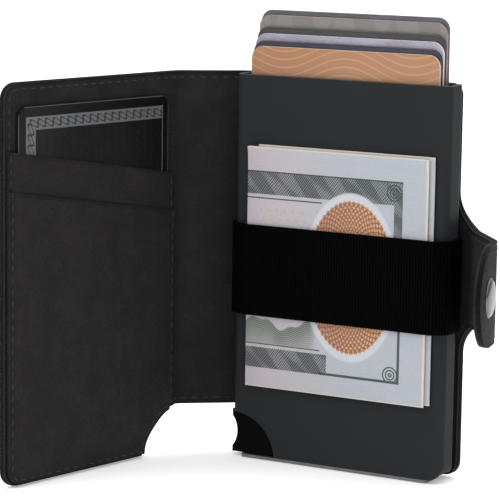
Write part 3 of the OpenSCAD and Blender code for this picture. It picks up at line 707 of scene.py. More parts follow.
@dataclass(frozen=True)
class NotePaper:
    """Cotton note paper with a generic engraved print, drawn on the unfolded strip."""

    name: str
    left: Colour = (0.465, 0.43, 0.468)
    right: Colour = (0.405, 0.432, 0.48)
    cream: Colour = (0.60, 0.55, 0.46)
    ink: Colour = (0.035, 0.05, 0.045)
    copper: Colour = (0.36, 0.13, 0.045)
    violet: Colour = (0.14, 0.07, 0.20)
    gold: Colour = (0.60, 0.36, 0.12)
    green: Colour = (0.12, 0.15, 0.11)
    before: float = -1.0
    frame_inner: float = 42.6
    frame_outer: float = 45.0
    top_band: Point = (51.2, 57.2)
    low_band: Point = (5.2, 10.6)
    low_end: float = 22.0
    panel_top: float = 11.4
    medallion_at: Point = (30.5, 31.4)
    medallion_half: Point = (12.5, 19.6)
    speck_area: tuple[float, float, float, float] = (3.5, 17.5, 37.5, 49.3)

    def material(self) -> bpy.types.Material:
        """Returns the finish as a material."""
        material, g, shader = new_surface(self.name, Specular_IOR_Level=0.25, Sheen_Weight=0.08)
        place, flat = g.spaces()
        along, up, _ = g.split(flat, MAP)
        fibre = g.use(Effect.FIBRE, {"Vector": place, "Scale": 2600.0})
        paper = g.mix(g.ramp(along, 6.0, 34.0), self.left, self.right)
        paper = g.mix(g.ramp(fibre.outputs["Height"], 0.45, 0.8, 0.0, 0.22), paper, self.cream)
        paper = self.vignette(g, paper, along, up)
        fine = self.guilloche(g, along, up)
        paper = g.mix(g.calc("MULTIPLY", fine, 0.07), paper, self.violet)
        dark = self.engraving(g, along, up)
        print_colour = g.mix(dark, paper, self.ink)
        print_colour = self.medallion(g, print_colour, paper, along, up)
        specks = self.specks(g, along, up)
        print_colour = g.mix(g.calc("MULTIPLY", specks, 0.75), print_colour, self.gold)
        margin = g.calc("MINIMUM", up, g.calc("SUBTRACT", NOTE_HEIGHT, up))
        fold = self.box(g, along, up, 51.5, 54.5, self.before, 65.0)
        rim = g.calc("MAXIMUM", g.ramp(margin, 0.45, 0.1), fold)
        g.feed(shader.inputs["Base Color"], g.mix(rim, print_colour, self.cream))
        g.feed(shader.inputs["Roughness"], g.ramp(fibre.outputs["Tone"], 0.3, 0.7, 0.72, 0.86))
        height = g.calc("MULTIPLY_ADD", dark, 0.35, g.calc("MULTIPLY", fibre.outputs["Height"], 0.65))
        add_bump(g, shader, height, 0.00003, 0.8)
        return material

    @staticmethod
    def box(g: Graph, along: object, up: object, s0: float, s1: float, z0: float,
            z1: float) -> bpy.types.NodeSocket:
        """Returns 1 inside a rectangle of the strip, in millimetres."""
        wide = g.calc("MULTIPLY", g.ramp(along, s0 - 0.06, s0 + 0.06),
                      g.ramp(along, s1 + 0.06, s1 - 0.06))
        high = g.calc("MULTIPLY", g.ramp(up, z0 - 0.06, z0 + 0.06),
                      g.ramp(up, z1 + 0.06, z1 - 0.06))
        return g.calc("MULTIPLY", wide, high)

    def guilloche(self, g: Graph, along: object, up: object) -> bpy.types.NodeSocket:
        """Draws the fine wavy ground lines."""
        swing = g.calc("SINE", g.calc("MULTIPLY", along, 0.5))
        one = g.use(Effect.LINES, {"Along": g.calc("MULTIPLY_ADD", swing, 1.4, up),
                                   "Pitch": 0.85, "Width": 0.2})
        two = g.use(Effect.LINES, {"Along": g.calc("MULTIPLY_ADD", swing, -1.7, up),
                                   "Pitch": 1.1, "Width": 0.18})
        return g.calc("MAXIMUM", one.outputs["Mask"], two.outputs["Mask"])

    def vignette(self, g: Graph, paper: object, along: object,
                 up: object) -> bpy.types.NodeSocket:
        """Draws the lower left picture: rolling hills in close grey-green lines."""
        hill = g.calc("MULTIPLY", g.calc("SINE", g.calc("MULTIPLY", along, 0.42)), 1.3)
        far = g.calc("MULTIPLY_ADD", g.calc("SINE", g.calc("MULTIPLY", along, 1.1)), 0.5, hill)
        sky = g.calc("SUBTRACT", g.calc("ADD", far, 17.4), up)
        shade = g.calc("MULTIPLY", g.ramp(sky, -0.2, 0.3), g.ramp(sky, 7.0, 1.0, 0.55, 1.0))
        area = g.calc("MULTIPLY", g.ramp(along, 21.5, 18.5), g.ramp(up, self.panel_top, 12.0))
        rows = g.use(Effect.LINES, {"Along": g.calc("SUBTRACT", up, hill), "Pitch": 0.55,
                                    "Width": 0.6})
        lines = g.calc("MULTIPLY", g.calc("MULTIPLY_ADD", rows.outputs["Mask"], 0.4, 0.6), shade)
        return g.mix(g.calc("MULTIPLY", lines, area), paper, self.green)

    def engraving(self, g: Graph, along: object, up: object) -> bpy.types.NodeSocket:
        """Draws the hatched bands, the plain frame and its corner rings."""
        slant = g.calc("MULTIPLY_ADD", up, 0.8, along)
        hatch = g.use(Effect.LINES, {"Along": slant, "Pitch": 0.62, "Width": 0.62})
        back = g.use(Effect.LINES, {"Along": g.calc("MULTIPLY_ADD", up, -0.9, along),
                                    "Pitch": 0.9, "Width": 0.7})
        cross = g.calc("MULTIPLY_ADD", hatch.outputs["Mask"], 0.6,
                       g.calc("MULTIPLY", back.outputs["Mask"], 0.35))
        start = self.before
        outer = self.frame_outer
        top = self.box(g, along, up, start, outer, *self.top_band)
        top_lines = g.calc("MAXIMUM", self.box(g, along, up, start, outer, 56.9, 57.3),
                           self.box(g, along, up, start, self.low_end, 50.0, 50.35))
        right = self.box(g, along, up, self.frame_inner, outer, 28.0, self.top_band[1])
        low = self.box(g, along, up, start, self.low_end + 2.0, *self.low_band)
        foot = self.box(g, along, up, self.low_end, outer, self.low_band[0], 5.9)
        post = self.box(g, along, up, 44.3, outer, self.low_band[0], 28.0)
        panel = self.box(g, along, up, start, self.low_end, self.panel_top, 11.7)
        low_lines = g.calc("MAXIMUM", panel,
                           g.calc("MAXIMUM", foot, post))
        rings = [g.calc("SQRT", g.calc(
            "ADD", g.calc("POWER", g.calc("SUBTRACT", along, s), 2.0),
            g.calc("POWER", g.calc("SUBTRACT", up, z), 2.0))) for s, z in ((42.6, 54.3), (42.4, 7.4))]
        ring = g.calc("MINIMUM", *rings)
        curls = g.use(Effect.LINES, {"Along": ring, "Pitch": 0.8, "Width": 0.45})
        scroll = g.calc("MULTIPLY", curls.outputs["Mask"], g.ramp(ring, 2.6, 2.4))
        bands = g.calc("MAXIMUM", g.calc("MAXIMUM", top, right), low)
        swell = g.calc("ADD", g.calc("SINE", g.calc("MULTIPLY", along, 0.43)),
                       g.calc("SINE", g.calc("MULTIPLY_ADD", along, 0.97, up)))
        patches = g.ramp(swell, -0.6, 0.6, 0.1, 0.4)
        bands = g.calc("MULTIPLY", bands, g.calc("ADD", cross, patches))
        ink = g.calc("MAXIMUM", g.calc("MAXIMUM", bands, scroll),
                     g.calc("MAXIMUM", top_lines, low_lines))
        return g.calc("MULTIPLY", ink, 0.92, clamp=True)

    def medallion(self, g: Graph, under: object, paper: object, along: object,
                  up: object) -> bpy.types.NodeSocket:
        """Draws a large oval of copper lace in the middle of the note.

        Args:
            g: the material's graph.
            under: the print so far.
            paper: the bare paper's colour.
            along: millimetres along the strip.
            up: millimetres up the strip.

        Returns:
            The print with the medallion.
        """
        x = g.calc("DIVIDE", g.calc("SUBTRACT", along, self.medallion_at[0]),
                   self.medallion_half[0])
        z = g.calc("DIVIDE", g.calc("SUBTRACT", up, self.medallion_at[1]), self.medallion_half[1])
        reach = g.calc("SQRT", g.calc("ADD", g.calc("MULTIPLY", x, x), g.calc("MULTIPLY", z, z)))
        lobes = g.calc("SINE", g.calc("MULTIPLY", g.calc("ARCTAN2", z, x), 30.0))
        strands = [g.use(Effect.LINES, {
            "Along": g.calc("MULTIPLY_ADD", lobes, swing, g.calc("MULTIPLY", reach, 16.0)),
            "Pitch": 1.3, "Width": 0.34}).outputs["Mask"] for swing in (0.55, -0.55)]
        lace = g.calc("MAXIMUM", strands[0], strands[1])
        scalloped = g.calc("MULTIPLY_ADD", g.calc("ABSOLUTE", lobes), -0.035, reach)
        clear = g.mix(g.ramp(reach, 1.14, 1.1), under, g.mix(0.5, paper, (0.66, 0.66, 0.70)))
        warm = g.mix(g.ramp(x, -0.9, 1.0), self.copper, self.gold)
        field_colour = g.mix(0.6, paper, warm)
        copper = g.mix(lace, field_colour, tuple(0.85 * c for c in self.copper))
        return g.mix(g.ramp(scalloped, 1.0, 0.985), clear, copper)

    def specks(self, g: Graph, along: object, up: object) -> bpy.types.NodeSocket:
        """Draws the small gold marks as rows of dots."""
        rows = g.use(Effect.LINES, {"Along": up, "Pitch": 2.3, "Width": 0.3})
        columns = g.use(Effect.LINES, {"Along": g.calc("MULTIPLY_ADD", up, 0.4, along),
                                       "Pitch": 2.4, "Width": 0.28})
        dots = g.calc("MULTIPLY", rows.outputs["Mask"], columns.outputs["Mask"])
        return g.calc("MULTIPLY", dots, self.box(g, along, up, *self.speck_area))


OUTER = Leather("outer_leather", (0.0064, 0.0062, 0.0061), (0.0115, 0.0110, 0.0108),
                (0.04, 0.037, 0.034), 0.62, 0.10, 0.58, 0.05, 0.015)
LINING = Leather("lining_leather", (0.0172, 0.0161, 0.0163), (0.0265, 0.0248, 0.0250),
                 (0.04, 0.037, 0.036), 0.34, 0.04, 0.66, 0.07, 0.02)
POCKET = Leather("pocket_leather", (0.0195, 0.0181, 0.0183), (0.0283, 0.0263, 0.0262),
                 (0.04, 0.037, 0.036), 0.36, 0.04, 0.66, 0.07, 0.02)
CASE = Anodised("anodised_case", (0.0229, 0.0241, 0.0258), (0.12, 0.12, 0.13), 102.0)
PLATE = Metal("brushed_aluminium", (0.20, 0.20, 0.205), 0.42, (0.03, 1.0, 1.0), 0.004)
STEEL = Metal("drawn_steel", (0.56, 0.56, 0.57), 0.28, (1.0, 0.05, 1.0), 0.003)
NICKEL = Metal("polished_nickel", (0.155, 0.145, 0.152), 0.26, (1.0, 1.0, 1.0), 0.001)
BLACK_PLASTIC = Plastic("black_plastic", (0.0016, 0.0016, 0.0017), 0.34)
FELT = Fibrous("black_felt", (0.006, 0.006, 0.006), (0.02, 0.02, 0.021), 2400.0, 0.10, 0.5)
TAPE = Fibrous("foam_tape", (0.55, 0.54, 0.51), (0.76, 0.75, 0.72), 1500.0, 0.06, 0.1)
THREAD = Fibrous("waxed_thread", (0.019, 0.018, 0.018), (0.046, 0.044, 0.043), 6000.0, 0.03, 0.1)
BLACK_CORE = Plastic("black_card_core", (0.010, 0.010, 0.011), 0.4)
ELASTIC = Elastic("ribbed_elastic", (0.0003, 0.0003, 0.0003), (0.0028, 0.0028, 0.0030), RIB)
STRIPE = Plastic("magnetic_stripe", (0.008, 0.007, 0.0065), 0.3)
PAPER = NotePaper("note_paper")


# ---- shapes ----


def arc(cx: float, cz: float, radius: float, start: float, end: float, steps: int) -> list[Point]:
    """Returns points along a circular arc.

    Args:
        cx: the centre's first coordinate.
        cz: the centre's second coordinate.
        radius: the arc's radius.
        start: the first point's angle in degrees.
        end: the last point's angle in degrees.
        steps: how many chords the arc has.
    """
    turns = [math.radians(start + (end - start) * i / steps) for i in range(steps + 1)]
    return [(cx + radius * math.cos(a), cz + radius * math.sin(a)) for a in turns]


def spread(start: float, end: float, step: float) -> list[float]:
    """Returns evenly spaced values from start to end, about step apart."""
    count = max(1, round(abs(end - start) / step))
    return [start + (end - start) * i / count for i in range(count + 1)]


def smooth(value: float) -> float:
    """Returns a smooth step of a value held from 0 to 1."""
    held = min(1.0, max(0.0, value))
    return held * held * (3.0 - 2.0 * held)


@dataclass(frozen=True)
class FoldPath:
    """A line seen from above that a sheet follows: corners, each rounded by its radius.

    face is 1 where the sheet's inner side lies to the left of its way, and -1 to the right.
    """

    corners: tuple[Point, ...]
    radii: tuple[float, ...]
    face: int = 1

    def spans(self) -> list[tuple[float, float, Vector, float, float, float]]:
        """Returns each straight and bend: start, end, first point, heading, turn and radius."""
        points = [Vector((x, y)) for x, y in self.corners]
        legs = [b - a for a, b in zip(points, points[1:])]
        heads = [math.atan2(leg.y, leg.x) for leg in legs]
        made = []
        at = 0.0
        used = 0.0
        for index, leg in enumerate(legs):
            way = leg.normalized()
            last = index == len(legs) - 1
            turn = 0.0
            tangent = 0.0
            if not last:
                turn = (heads[index + 1] - heads[index] + math.pi) % math.tau - math.pi
                tangent = self.radii[index] * math.tan(abs(turn) / 2)
            first = points[index] + way * used
            corner = at + leg.length
            made.append((at + used, corner - tangent, first, heads[index], 0.0, 0.0))
            if not last:
                made.append((corner - tangent, corner + tangent, points[index + 1] - way * tangent,
                             heads[index], turn, self.radii[index]))
            used = tangent
            at = corner
        return made

    def length(self) -> float:
        """Returns the path's length along its corners."""
        return sum((Vector(b) - Vector(a)).length for a, b in zip(self.corners, self.corners[1:]))

    def place(self, s: float, w: float, z: float) -> Vector:
        """Puts a point of the flat sheet where the folded sheet has it.

        Args:
            s: the distance along the sheet.
            w: the distance from the line towards the inner side.
            z: the height.

        Returns:
            The point, in millimetres.
        """
        spans = self._cached()
        found = spans[-1]
        for span in spans:
            if s <= span[1]:
                found = span
                break
        start, end, first, head, turn, radius = found
        sign = math.copysign(1.0, turn) if turn else 0.0
        if not turn:
            way = Vector((math.cos(head), math.sin(head)))
            left = Vector((-way.y, way.x))
            flat = first + way * (s - start) + left * (w * self.face)
            return Vector((flat.x, flat.y, z))
        share = (s - start) / (end - start)
        left = Vector((-math.sin(head), math.cos(head)))
        centre = first + left * (sign * radius)
        angle = head + turn * share
        out = Vector((math.sin(angle), -math.cos(angle))) * sign
        flat = centre + out * (radius - w * self.face * sign)
        return Vector((flat.x, flat.y, z))

    def _cached(self) -> list[tuple[float, float, Vector, float, float, float]]:
        """Returns the spans, worked out once for each path."""
        if self not in SPANS:
            SPANS[self] = self.spans()
        return SPANS[self]

    def stand(self, s: float, w: float, z: float) -> Matrix:
        """Returns the matrix that stands a piece on the sheet: X along it, Z out of its back."""
        origin = self.place(s, w, z)
        along = (self.place(s + 0.01, w, z) - self.place(s - 0.01, w, z)).normalized()
        out = (self.place(s, w - 0.01, z) - origin).normalized()
        side = out.cross(along)
        made = Matrix((along, side, out)).transposed().to_4x4()
        made.translation = origin
        return made


SPANS: dict[FoldPath, list] = {}


def everything(bm: bmesh.types.BMesh) -> list:
    """Returns all of a mesh's vertices, edges and faces."""
    return bm.verts[:] + bm.edges[:] + bm.faces[:]


def finish_piece(name: str, bm: bmesh.types.BMesh, materials: Sequence[bpy.types.Material],
                 slot: str, sharp: float = 40.0) -> bpy.types.Object:
    """Makes a mesh in millimetres a finished object in metres.

    Args:
        name: the piece's name.
        bm: the mesh, which is freed.
        materials: the materials of its face groups.
        slot: a material slot's name; not used.
        sharp: edges that turn more than this stay sharp, in degrees.

    Returns:
        The object.
    """
    bmesh.ops.scale(bm, vec=(MM, MM, MM), verts=bm.verts[:])
    for face in bm.faces:
        face.smooth = True
    for edge in bm.edges:
        edge.smooth = edge.calc_face_angle(0.0) < math.radians(sharp)
    mesh = bpy.data.meshes.new(name)
    bm.to_mesh(mesh)
    bm.free()
    for material in materials:
        mesh.materials.append(material)
    piece = bpy.data.objects.new(name, mesh)
    bpy.context.scene.collection.objects.link(piece)
    LOG.info("%s: %d faces", name, len(mesh.polygons))
    return piece


@dataclass(frozen=True)
class Blank:
    """A piece cut flat from a sheet: its outline, its two faces and where it gets edges.

    low and high are its faces' distances from the sheet's line. groove is the depth that the
    stitching pulls in, on the high face if it is positive and on the low face if not.
    """

    outline: tuple[Point, ...]
    low: float
    high: float
    cuts_s: tuple[float, ...] = ()
    cuts_z: tuple[float, ...] = ()
    rims: tuple[float, ...] = (1.2, 0.5, 0.5)
    groove: float = 0.0
    bevel: float = 0.22

    def flat(self) -> bmesh.types.BMesh:
        """Returns the cut piece with no thickness, with its rim and its groove marked."""
        bm = bmesh.new()
        rim = bm.verts.layers.float.new("rim")
        groove = bm.verts.layers.float.new("groove")
        face = bm.faces.new([bm.verts.new((s, 0.0, z)) for s, z in self.outline])
        for vert in face.verts:
            vert[rim] = 1.0
        for step, near, sunk in zip(self.rims, (0.3, 0.12, 0.0), (0.0, 1.0, 0.0)):
            bmesh.ops.inset_region(bm, faces=[face], thickness=step, use_even_offset=True,
                                   use_boundary=True)
            for vert in face.verts:
                vert[rim] = near
                vert[groove] = sunk
        for axis, places in ((0, self.cuts_s), (2, self.cuts_z)):
            for place in places:
                spot = Vector()
                spot[axis] = place
                normal = Vector()
                normal[axis] = 1.0
                bmesh.ops.bisect_plane(bm, geom=everything(bm), dist=1e-4, plane_co=spot,
                                       plane_no=normal)
        return bm

    def solid(self) -> bmesh.types.BMesh:
        """Returns the piece with its thickness, its groove and its rounded rims."""
        bm = self.flat()
        sunk = bm.verts.layers.float["groove"]
        under = bm.verts[:]
        made = bmesh.ops.extrude_face_region(bm, geom=bm.faces[:])
        over = [v for v in made["geom"] if isinstance(v, bmesh.types.BMVert)]
        for vert in under:
            vert.co.y = self.low + max(0.0, -self.groove) * vert[sunk]
        for vert in over:
            vert.co.y = self.high - max(0.0, self.groove) * vert[sunk]
        bmesh.ops.recalc_face_normals(bm, faces=bm.faces[:])
        wall = [e for e in bm.edges if len(e.link_faces) == 2
                and e.calc_face_angle(0.0) > math.radians(60)
                and any(abs(f.normal.y) < 0.3 for f in e.link_faces)
                and any(abs(f.normal.y) > 0.7 for f in e.link_faces)]
        bmesh.ops.bevel(bm, geom=wall, offset=self.bevel, segments=2, profile=0.5,
                        affect="EDGES", clamp_overlap=True, material=-1)
        chart = bm.loops.layers.uv.new("UVMap")
        for face in bm.faces:
            for loop in face.loops:
                loop[chart].uv = (loop.vert.co.x / MAP, loop.vert.co.z / MAP)
        return bm


def cut_span(bm: bmesh.types.BMesh, start: float | None, end: float | None) -> bmesh.types.BMesh:
    """Cuts a stretch out of a copy of a solid blank and closes its cut ends.

    Args:
        bm: the solid blank, which stays.
        start: where the stretch starts, or None for the blank's own end.
        end: where it ends, or None.

    Returns:
        The stretch as a new mesh.
    """
    part = bm.copy()
    for place, way in ((start, -1.0), (end, 1.0)):
        if place is not None:
            bmesh.ops.bisect_plane(part, geom=everything(part), dist=1e-4,
                                   plane_co=(place, 0.0, 0.0), plane_no=(way, 0.0, 0.0),
                                   clear_outer=True)
            bmesh.ops.holes_fill(part, edges=[e for e in part.edges if e.is_boundary], sides=0)
    return part


def bend_sheet(bm: bmesh.types.BMesh, place: Callable[[float, float, float], Vector]) -> None:
    """Bends a flat mesh along its path and turns its faces outwards."""
    for vert in bm.verts:
        vert.co = place(vert.co.x, vert.co.y, vert.co.z)
    bmesh.ops.recalc_face_normals(bm, faces=bm.faces[:])


def walk(points: Sequence[Point], pitch: float, closed: bool) -> list[tuple[float, float, float]]:
    """Steps along a line at an even pitch.

    Args:
        points: the line's points.
        pitch: the wanted step, which is evened out over the line.
        closed: whether the last point joins the first.

    Returns:
        Each step's place and direction in radians.
    """
    line = [Vector(p) for p in points] + ([Vector(points[0])] if closed else [])
    total = sum((b - a).length for a, b in zip(line, line[1:]))
    count = max(1, round(total / pitch))
    steps = []
    done = 0.0
    target = total / count / 2
    for a, b in zip(line, line[1:]):
        leg = b - a
        while leg.length > 1e-9 and target <= done + leg.length + 1e-9 and len(steps) < count:
            spot = a + leg * ((target - done) / leg.length)
            steps.append((spot.x, spot.y, math.atan2(leg.y, leg.x)))
            target += total / count
        done += leg.length
    return steps


@dataclass
class Stitching:
    """Rows of short thread stitches, gathered flat and then bent with their sheet."""

    length: float = 2.1
    width: float = 0.42
    proud: float = 0.16
    lean: float = 0.07
    steps: list[tuple[float, float, float, float]] = field(default_factory=list)

    def run(self, points: Sequence[Point], pitch: float, closed: bool,
            height: Callable[[float, float], float]) -> None:
        """Adds a row along a line.

        Args:
            points: the line, in the flat sheet.
            pitch: the stitches' spacing.
            closed: whether the line is a loop.
            height: gives the surface's distance from the sheet's line at a place.
        """
        for s, z, way in walk(points, pitch, closed):
            self.steps.append((s, z, way + self.lean, height(s, z)))

    def mesh(self, start: float, end: float) -> bmesh.types.BMesh:
        """Returns the flat mesh of the stitches whose middle lies from start to end."""
        bm = bmesh.new()
        for s, z, way, w in self.steps:
            if start <= s < end:
                turn = Matrix.Rotation(-way, 4, "Y")
                shape = Matrix.Diagonal((self.length / 2, self.proud, self.width / 2, 1.0))
                upright = Matrix.Rotation(math.pi / 2, 4, "Y")
                spot = Matrix.Translation((s, w, z))
                bmesh.ops.create_uvsphere(bm, u_segments=6, v_segments=4, radius=1.0,
                                          matrix=spot @ turn @ shape @ upright)
        return bm


def rounded_plate(width: float, height: float, radius: float, thick: float,
                  bevel: float) -> bmesh.types.BMesh:
    """Returns an upright plate with round corners and softened rims, centred on the origin.

    Args:
        width: its size along X.
        height: its size along Z.
        radius: its corners' radius.
        thick: its thickness along Y.
        bevel: the rims' radius.
    """
    bm = bmesh.new()
    rim = bm.verts.layers.float.new("rim")
    corners = ((-1, -1), (1, -1), (1, 1), (-1, 1))
    bm.faces.new([bm.verts.new((x * width / 2, -thick / 2, z * height / 2))
                  for x, z in corners])
    bmesh.ops.bevel(bm, geom=bm.verts[:], offset=radius, segments=10, profile=0.5,
                    affect="VERTICES", material=-1)
    face = bm.faces[:][0]
    for vert in bm.verts:
        vert[rim] = 1.0
    bmesh.ops.inset_region(bm, faces=[face], thickness=0.5, use_even_offset=True,
                           use_boundary=True)
    for vert in face.verts:
        vert[rim] = 0.0
    made = bmesh.ops.extrude_face_region(bm, geom=bm.faces[:])
    bmesh.ops.translate(bm, vec=(0.0, thick, 0.0),
                        verts=[v for v in made["geom"] if isinstance(v, bmesh.types.BMVert)])
    bmesh.ops.recalc_face_normals(bm, faces=bm.faces[:])
    for item in bm.faces:
        item.material_index = 1 if abs(item.normal.y) < 0.5 else 0
    wall = [e for e in bm.edges if e.calc_face_angle(0.0) > math.radians(60)]
    bmesh.ops.bevel(bm, geom=wall, offset=bevel, segments=2, profile=0.5, affect="EDGES",
                    material=-1)
    chart = bm.loops.layers.uv.new("UVMap")
    for item in bm.faces:
        for loop in item.loops:
            spot = loop.vert.co
            loop[chart].uv = ((spot.x + width / 2) / MAP, (spot.z + height / 2) / MAP)
    return bm


def turned(profile: Sequence[Point], steps: int = 48) -> bmesh.types.BMesh:
    """Spins a profile of radius and height round Z into a closed solid.

    Args:
        profile: the outline from axis to axis, or a closed ring's outline.
        steps: how many steps the spin has.
    """
    bm = bmesh.new()
    verts = [bm.verts.new((max(r, 1e-4), 0.0, h)) for r, h in profile]
    for a, b in zip(verts, verts[1:]):
        bm.edges.new((a, b))
    bmesh.ops.spin(bm, geom=bm.verts[:] + bm.edges[:], axis=(0, 0, 1), cent=(0, 0, 0),
                   steps=steps, angle=math.tau, use_merge=True)
    bmesh.ops.remove_doubles(bm, verts=bm.verts[:], dist=1e-3)
    bmesh.ops.recalc_face_normals(bm, faces=bm.faces[:])
    return bm


# ---- the case ----


@dataclass
class CardCase:
    """The aluminium case with its base, rails, lever and felt, kept from the frame."""

    finishes: dict[str, object] = field(default_factory=lambda: {
        "case_sleeve": CASE, "base_plate": PLATE, "base_plug": BLACK_PLASTIC,
        "pivot_pin": STEEL, "return_spring": STEEL, "guide_rail_left": BLACK_PLASTIC,
        "guide_rail_right": BLACK_PLASTIC, "felt_strip_front": FELT, "felt_strip_back": FELT,
        "back_tape": TAPE, "lever": BLACK_PLASTIC})

    def build(self, shop: "Workshop") -> None:
        """Dresses the case's nodes.

        Args:
            shop: gives each finish's material.
        """
        for node, finish in self.finishes.items():
            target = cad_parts[node]
            target.data.materials.clear()
            target.data.materials.append(shop.material(finish))


class Workshop:
    """Makes each finish's material once."""

    def __init__(self) -> None:
        """Starts with no material made."""
        self.made: dict[str, bpy.types.Material] = {}

    def material(self, finish: object) -> bpy.types.Material:
        """Returns a finish's material.

        Args:
            finish: one of the finishes.

        Returns:
            The material, the same one each time.
        """
        if finish.name not in self.made:
            self.made[finish.name] = finish.material()
        return self.made[finish.name]


# ---- cards ----


@dataclass(frozen=True)
class CaseCard:
    """One card of the fan: its node, its slot, its print and the core its cut edges show."""

    node: str
    slot: str
    finish: CardPrint
    core: Colour

    def edge(self) -> Fibrous:
        """Returns the finish of the cut edges."""
        return Fibrous("core_" + self.node, tuple(0.85 * c for c in self.core), self.core,
                       1800.0, 0.008, 0.0)


@dataclass
class CardFan:
    """The six cards in the case."""

    corner: float = CARD_CORNER
    rim: float = 0.1
    stripe_width: float = 12.7
    stripe_inset: float = 4.5
    stripe_gap: float = 0.15
    stripe_thick: float = 0.03
    cards: tuple[CaseCard, ...] = (
        CaseCard("card_1", "card_tan", CardPrint(
            "print_tan", (0.36, 0.168, 0.074), (0.39, 0.19, 0.092), PrintDesign.SHADED),
            (0.62, 0.50, 0.42)),
        CaseCard("card_2", "card_navy", CardPrint(
            "print_navy", (0.012, 0.014, 0.030), (0.03, 0.034, 0.06), PrintDesign.PLAIN, 0.4),
            (0.02, 0.022, 0.036)),
        CaseCard("card_3", "card_lilac", CardPrint(
            "print_lilac", (0.37, 0.345, 0.42), (0.21, 0.165, 0.22), PrintDesign.LOWER_BAND,
            0.45), (0.66, 0.63, 0.70)),
        CaseCard("card_4", "card_slate", CardPrint(
            "print_slate", (0.020, 0.022, 0.020), (0.05, 0.055, 0.05), PrintDesign.FINE_WAVES),
            (0.05, 0.056, 0.05)),
        CaseCard("card_5", "card_taupe", CardPrint(
            "print_taupe", (0.168, 0.156, 0.146), (0.23, 0.21, 0.20), PrintDesign.PATCHES),
            (0.34, 0.22, 0.20)),
        CaseCard("card_6", "card_blue_grey", CardPrint(
            "print_blue_grey", (0.070, 0.068, 0.086), (0.12, 0.115, 0.135), PrintDesign.PLAIN,
            0.5), (0.13, 0.085, 0.085)))

    def build(self, shop: Workshop) -> None:
        """Builds each card on its own body, with a magnetic stripe on the rearmost one."""
        for card in self.cards:
            low, high = (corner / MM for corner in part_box(card.node))
            size = high - low
            bm = rounded_plate(size.x, size.z, self.corner, size.y, self.rim)
            bmesh.ops.translate(bm, vec=(low + high) / 2, verts=bm.verts[:])
            piece = finish_piece(card.node + "_print", bm, (shop.material(card.finish),
                                                            shop.material(card.edge())), card.slot)
            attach(piece, card.node)
            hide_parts(card.node)
        low, high = (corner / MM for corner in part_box("card_6"))
        height = high.z - low.z - 2 * self.stripe_gap
        bm = rounded_plate(self.stripe_width, height, 0.7, self.stripe_thick, 0.01)
        bmesh.ops.translate(bm, vec=(low.x + self.stripe_inset + self.stripe_width / 2, high.y + 0.012,
                                     (low.z + high.z) / 2), verts=bm.verts[:])
        stripe = finish_piece("card_6_stripe", bm, (shop.material(STRIPE),
                                                    shop.material(STRIPE)), "card_black")
        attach(stripe, "card_6")


# ---- the cover ----


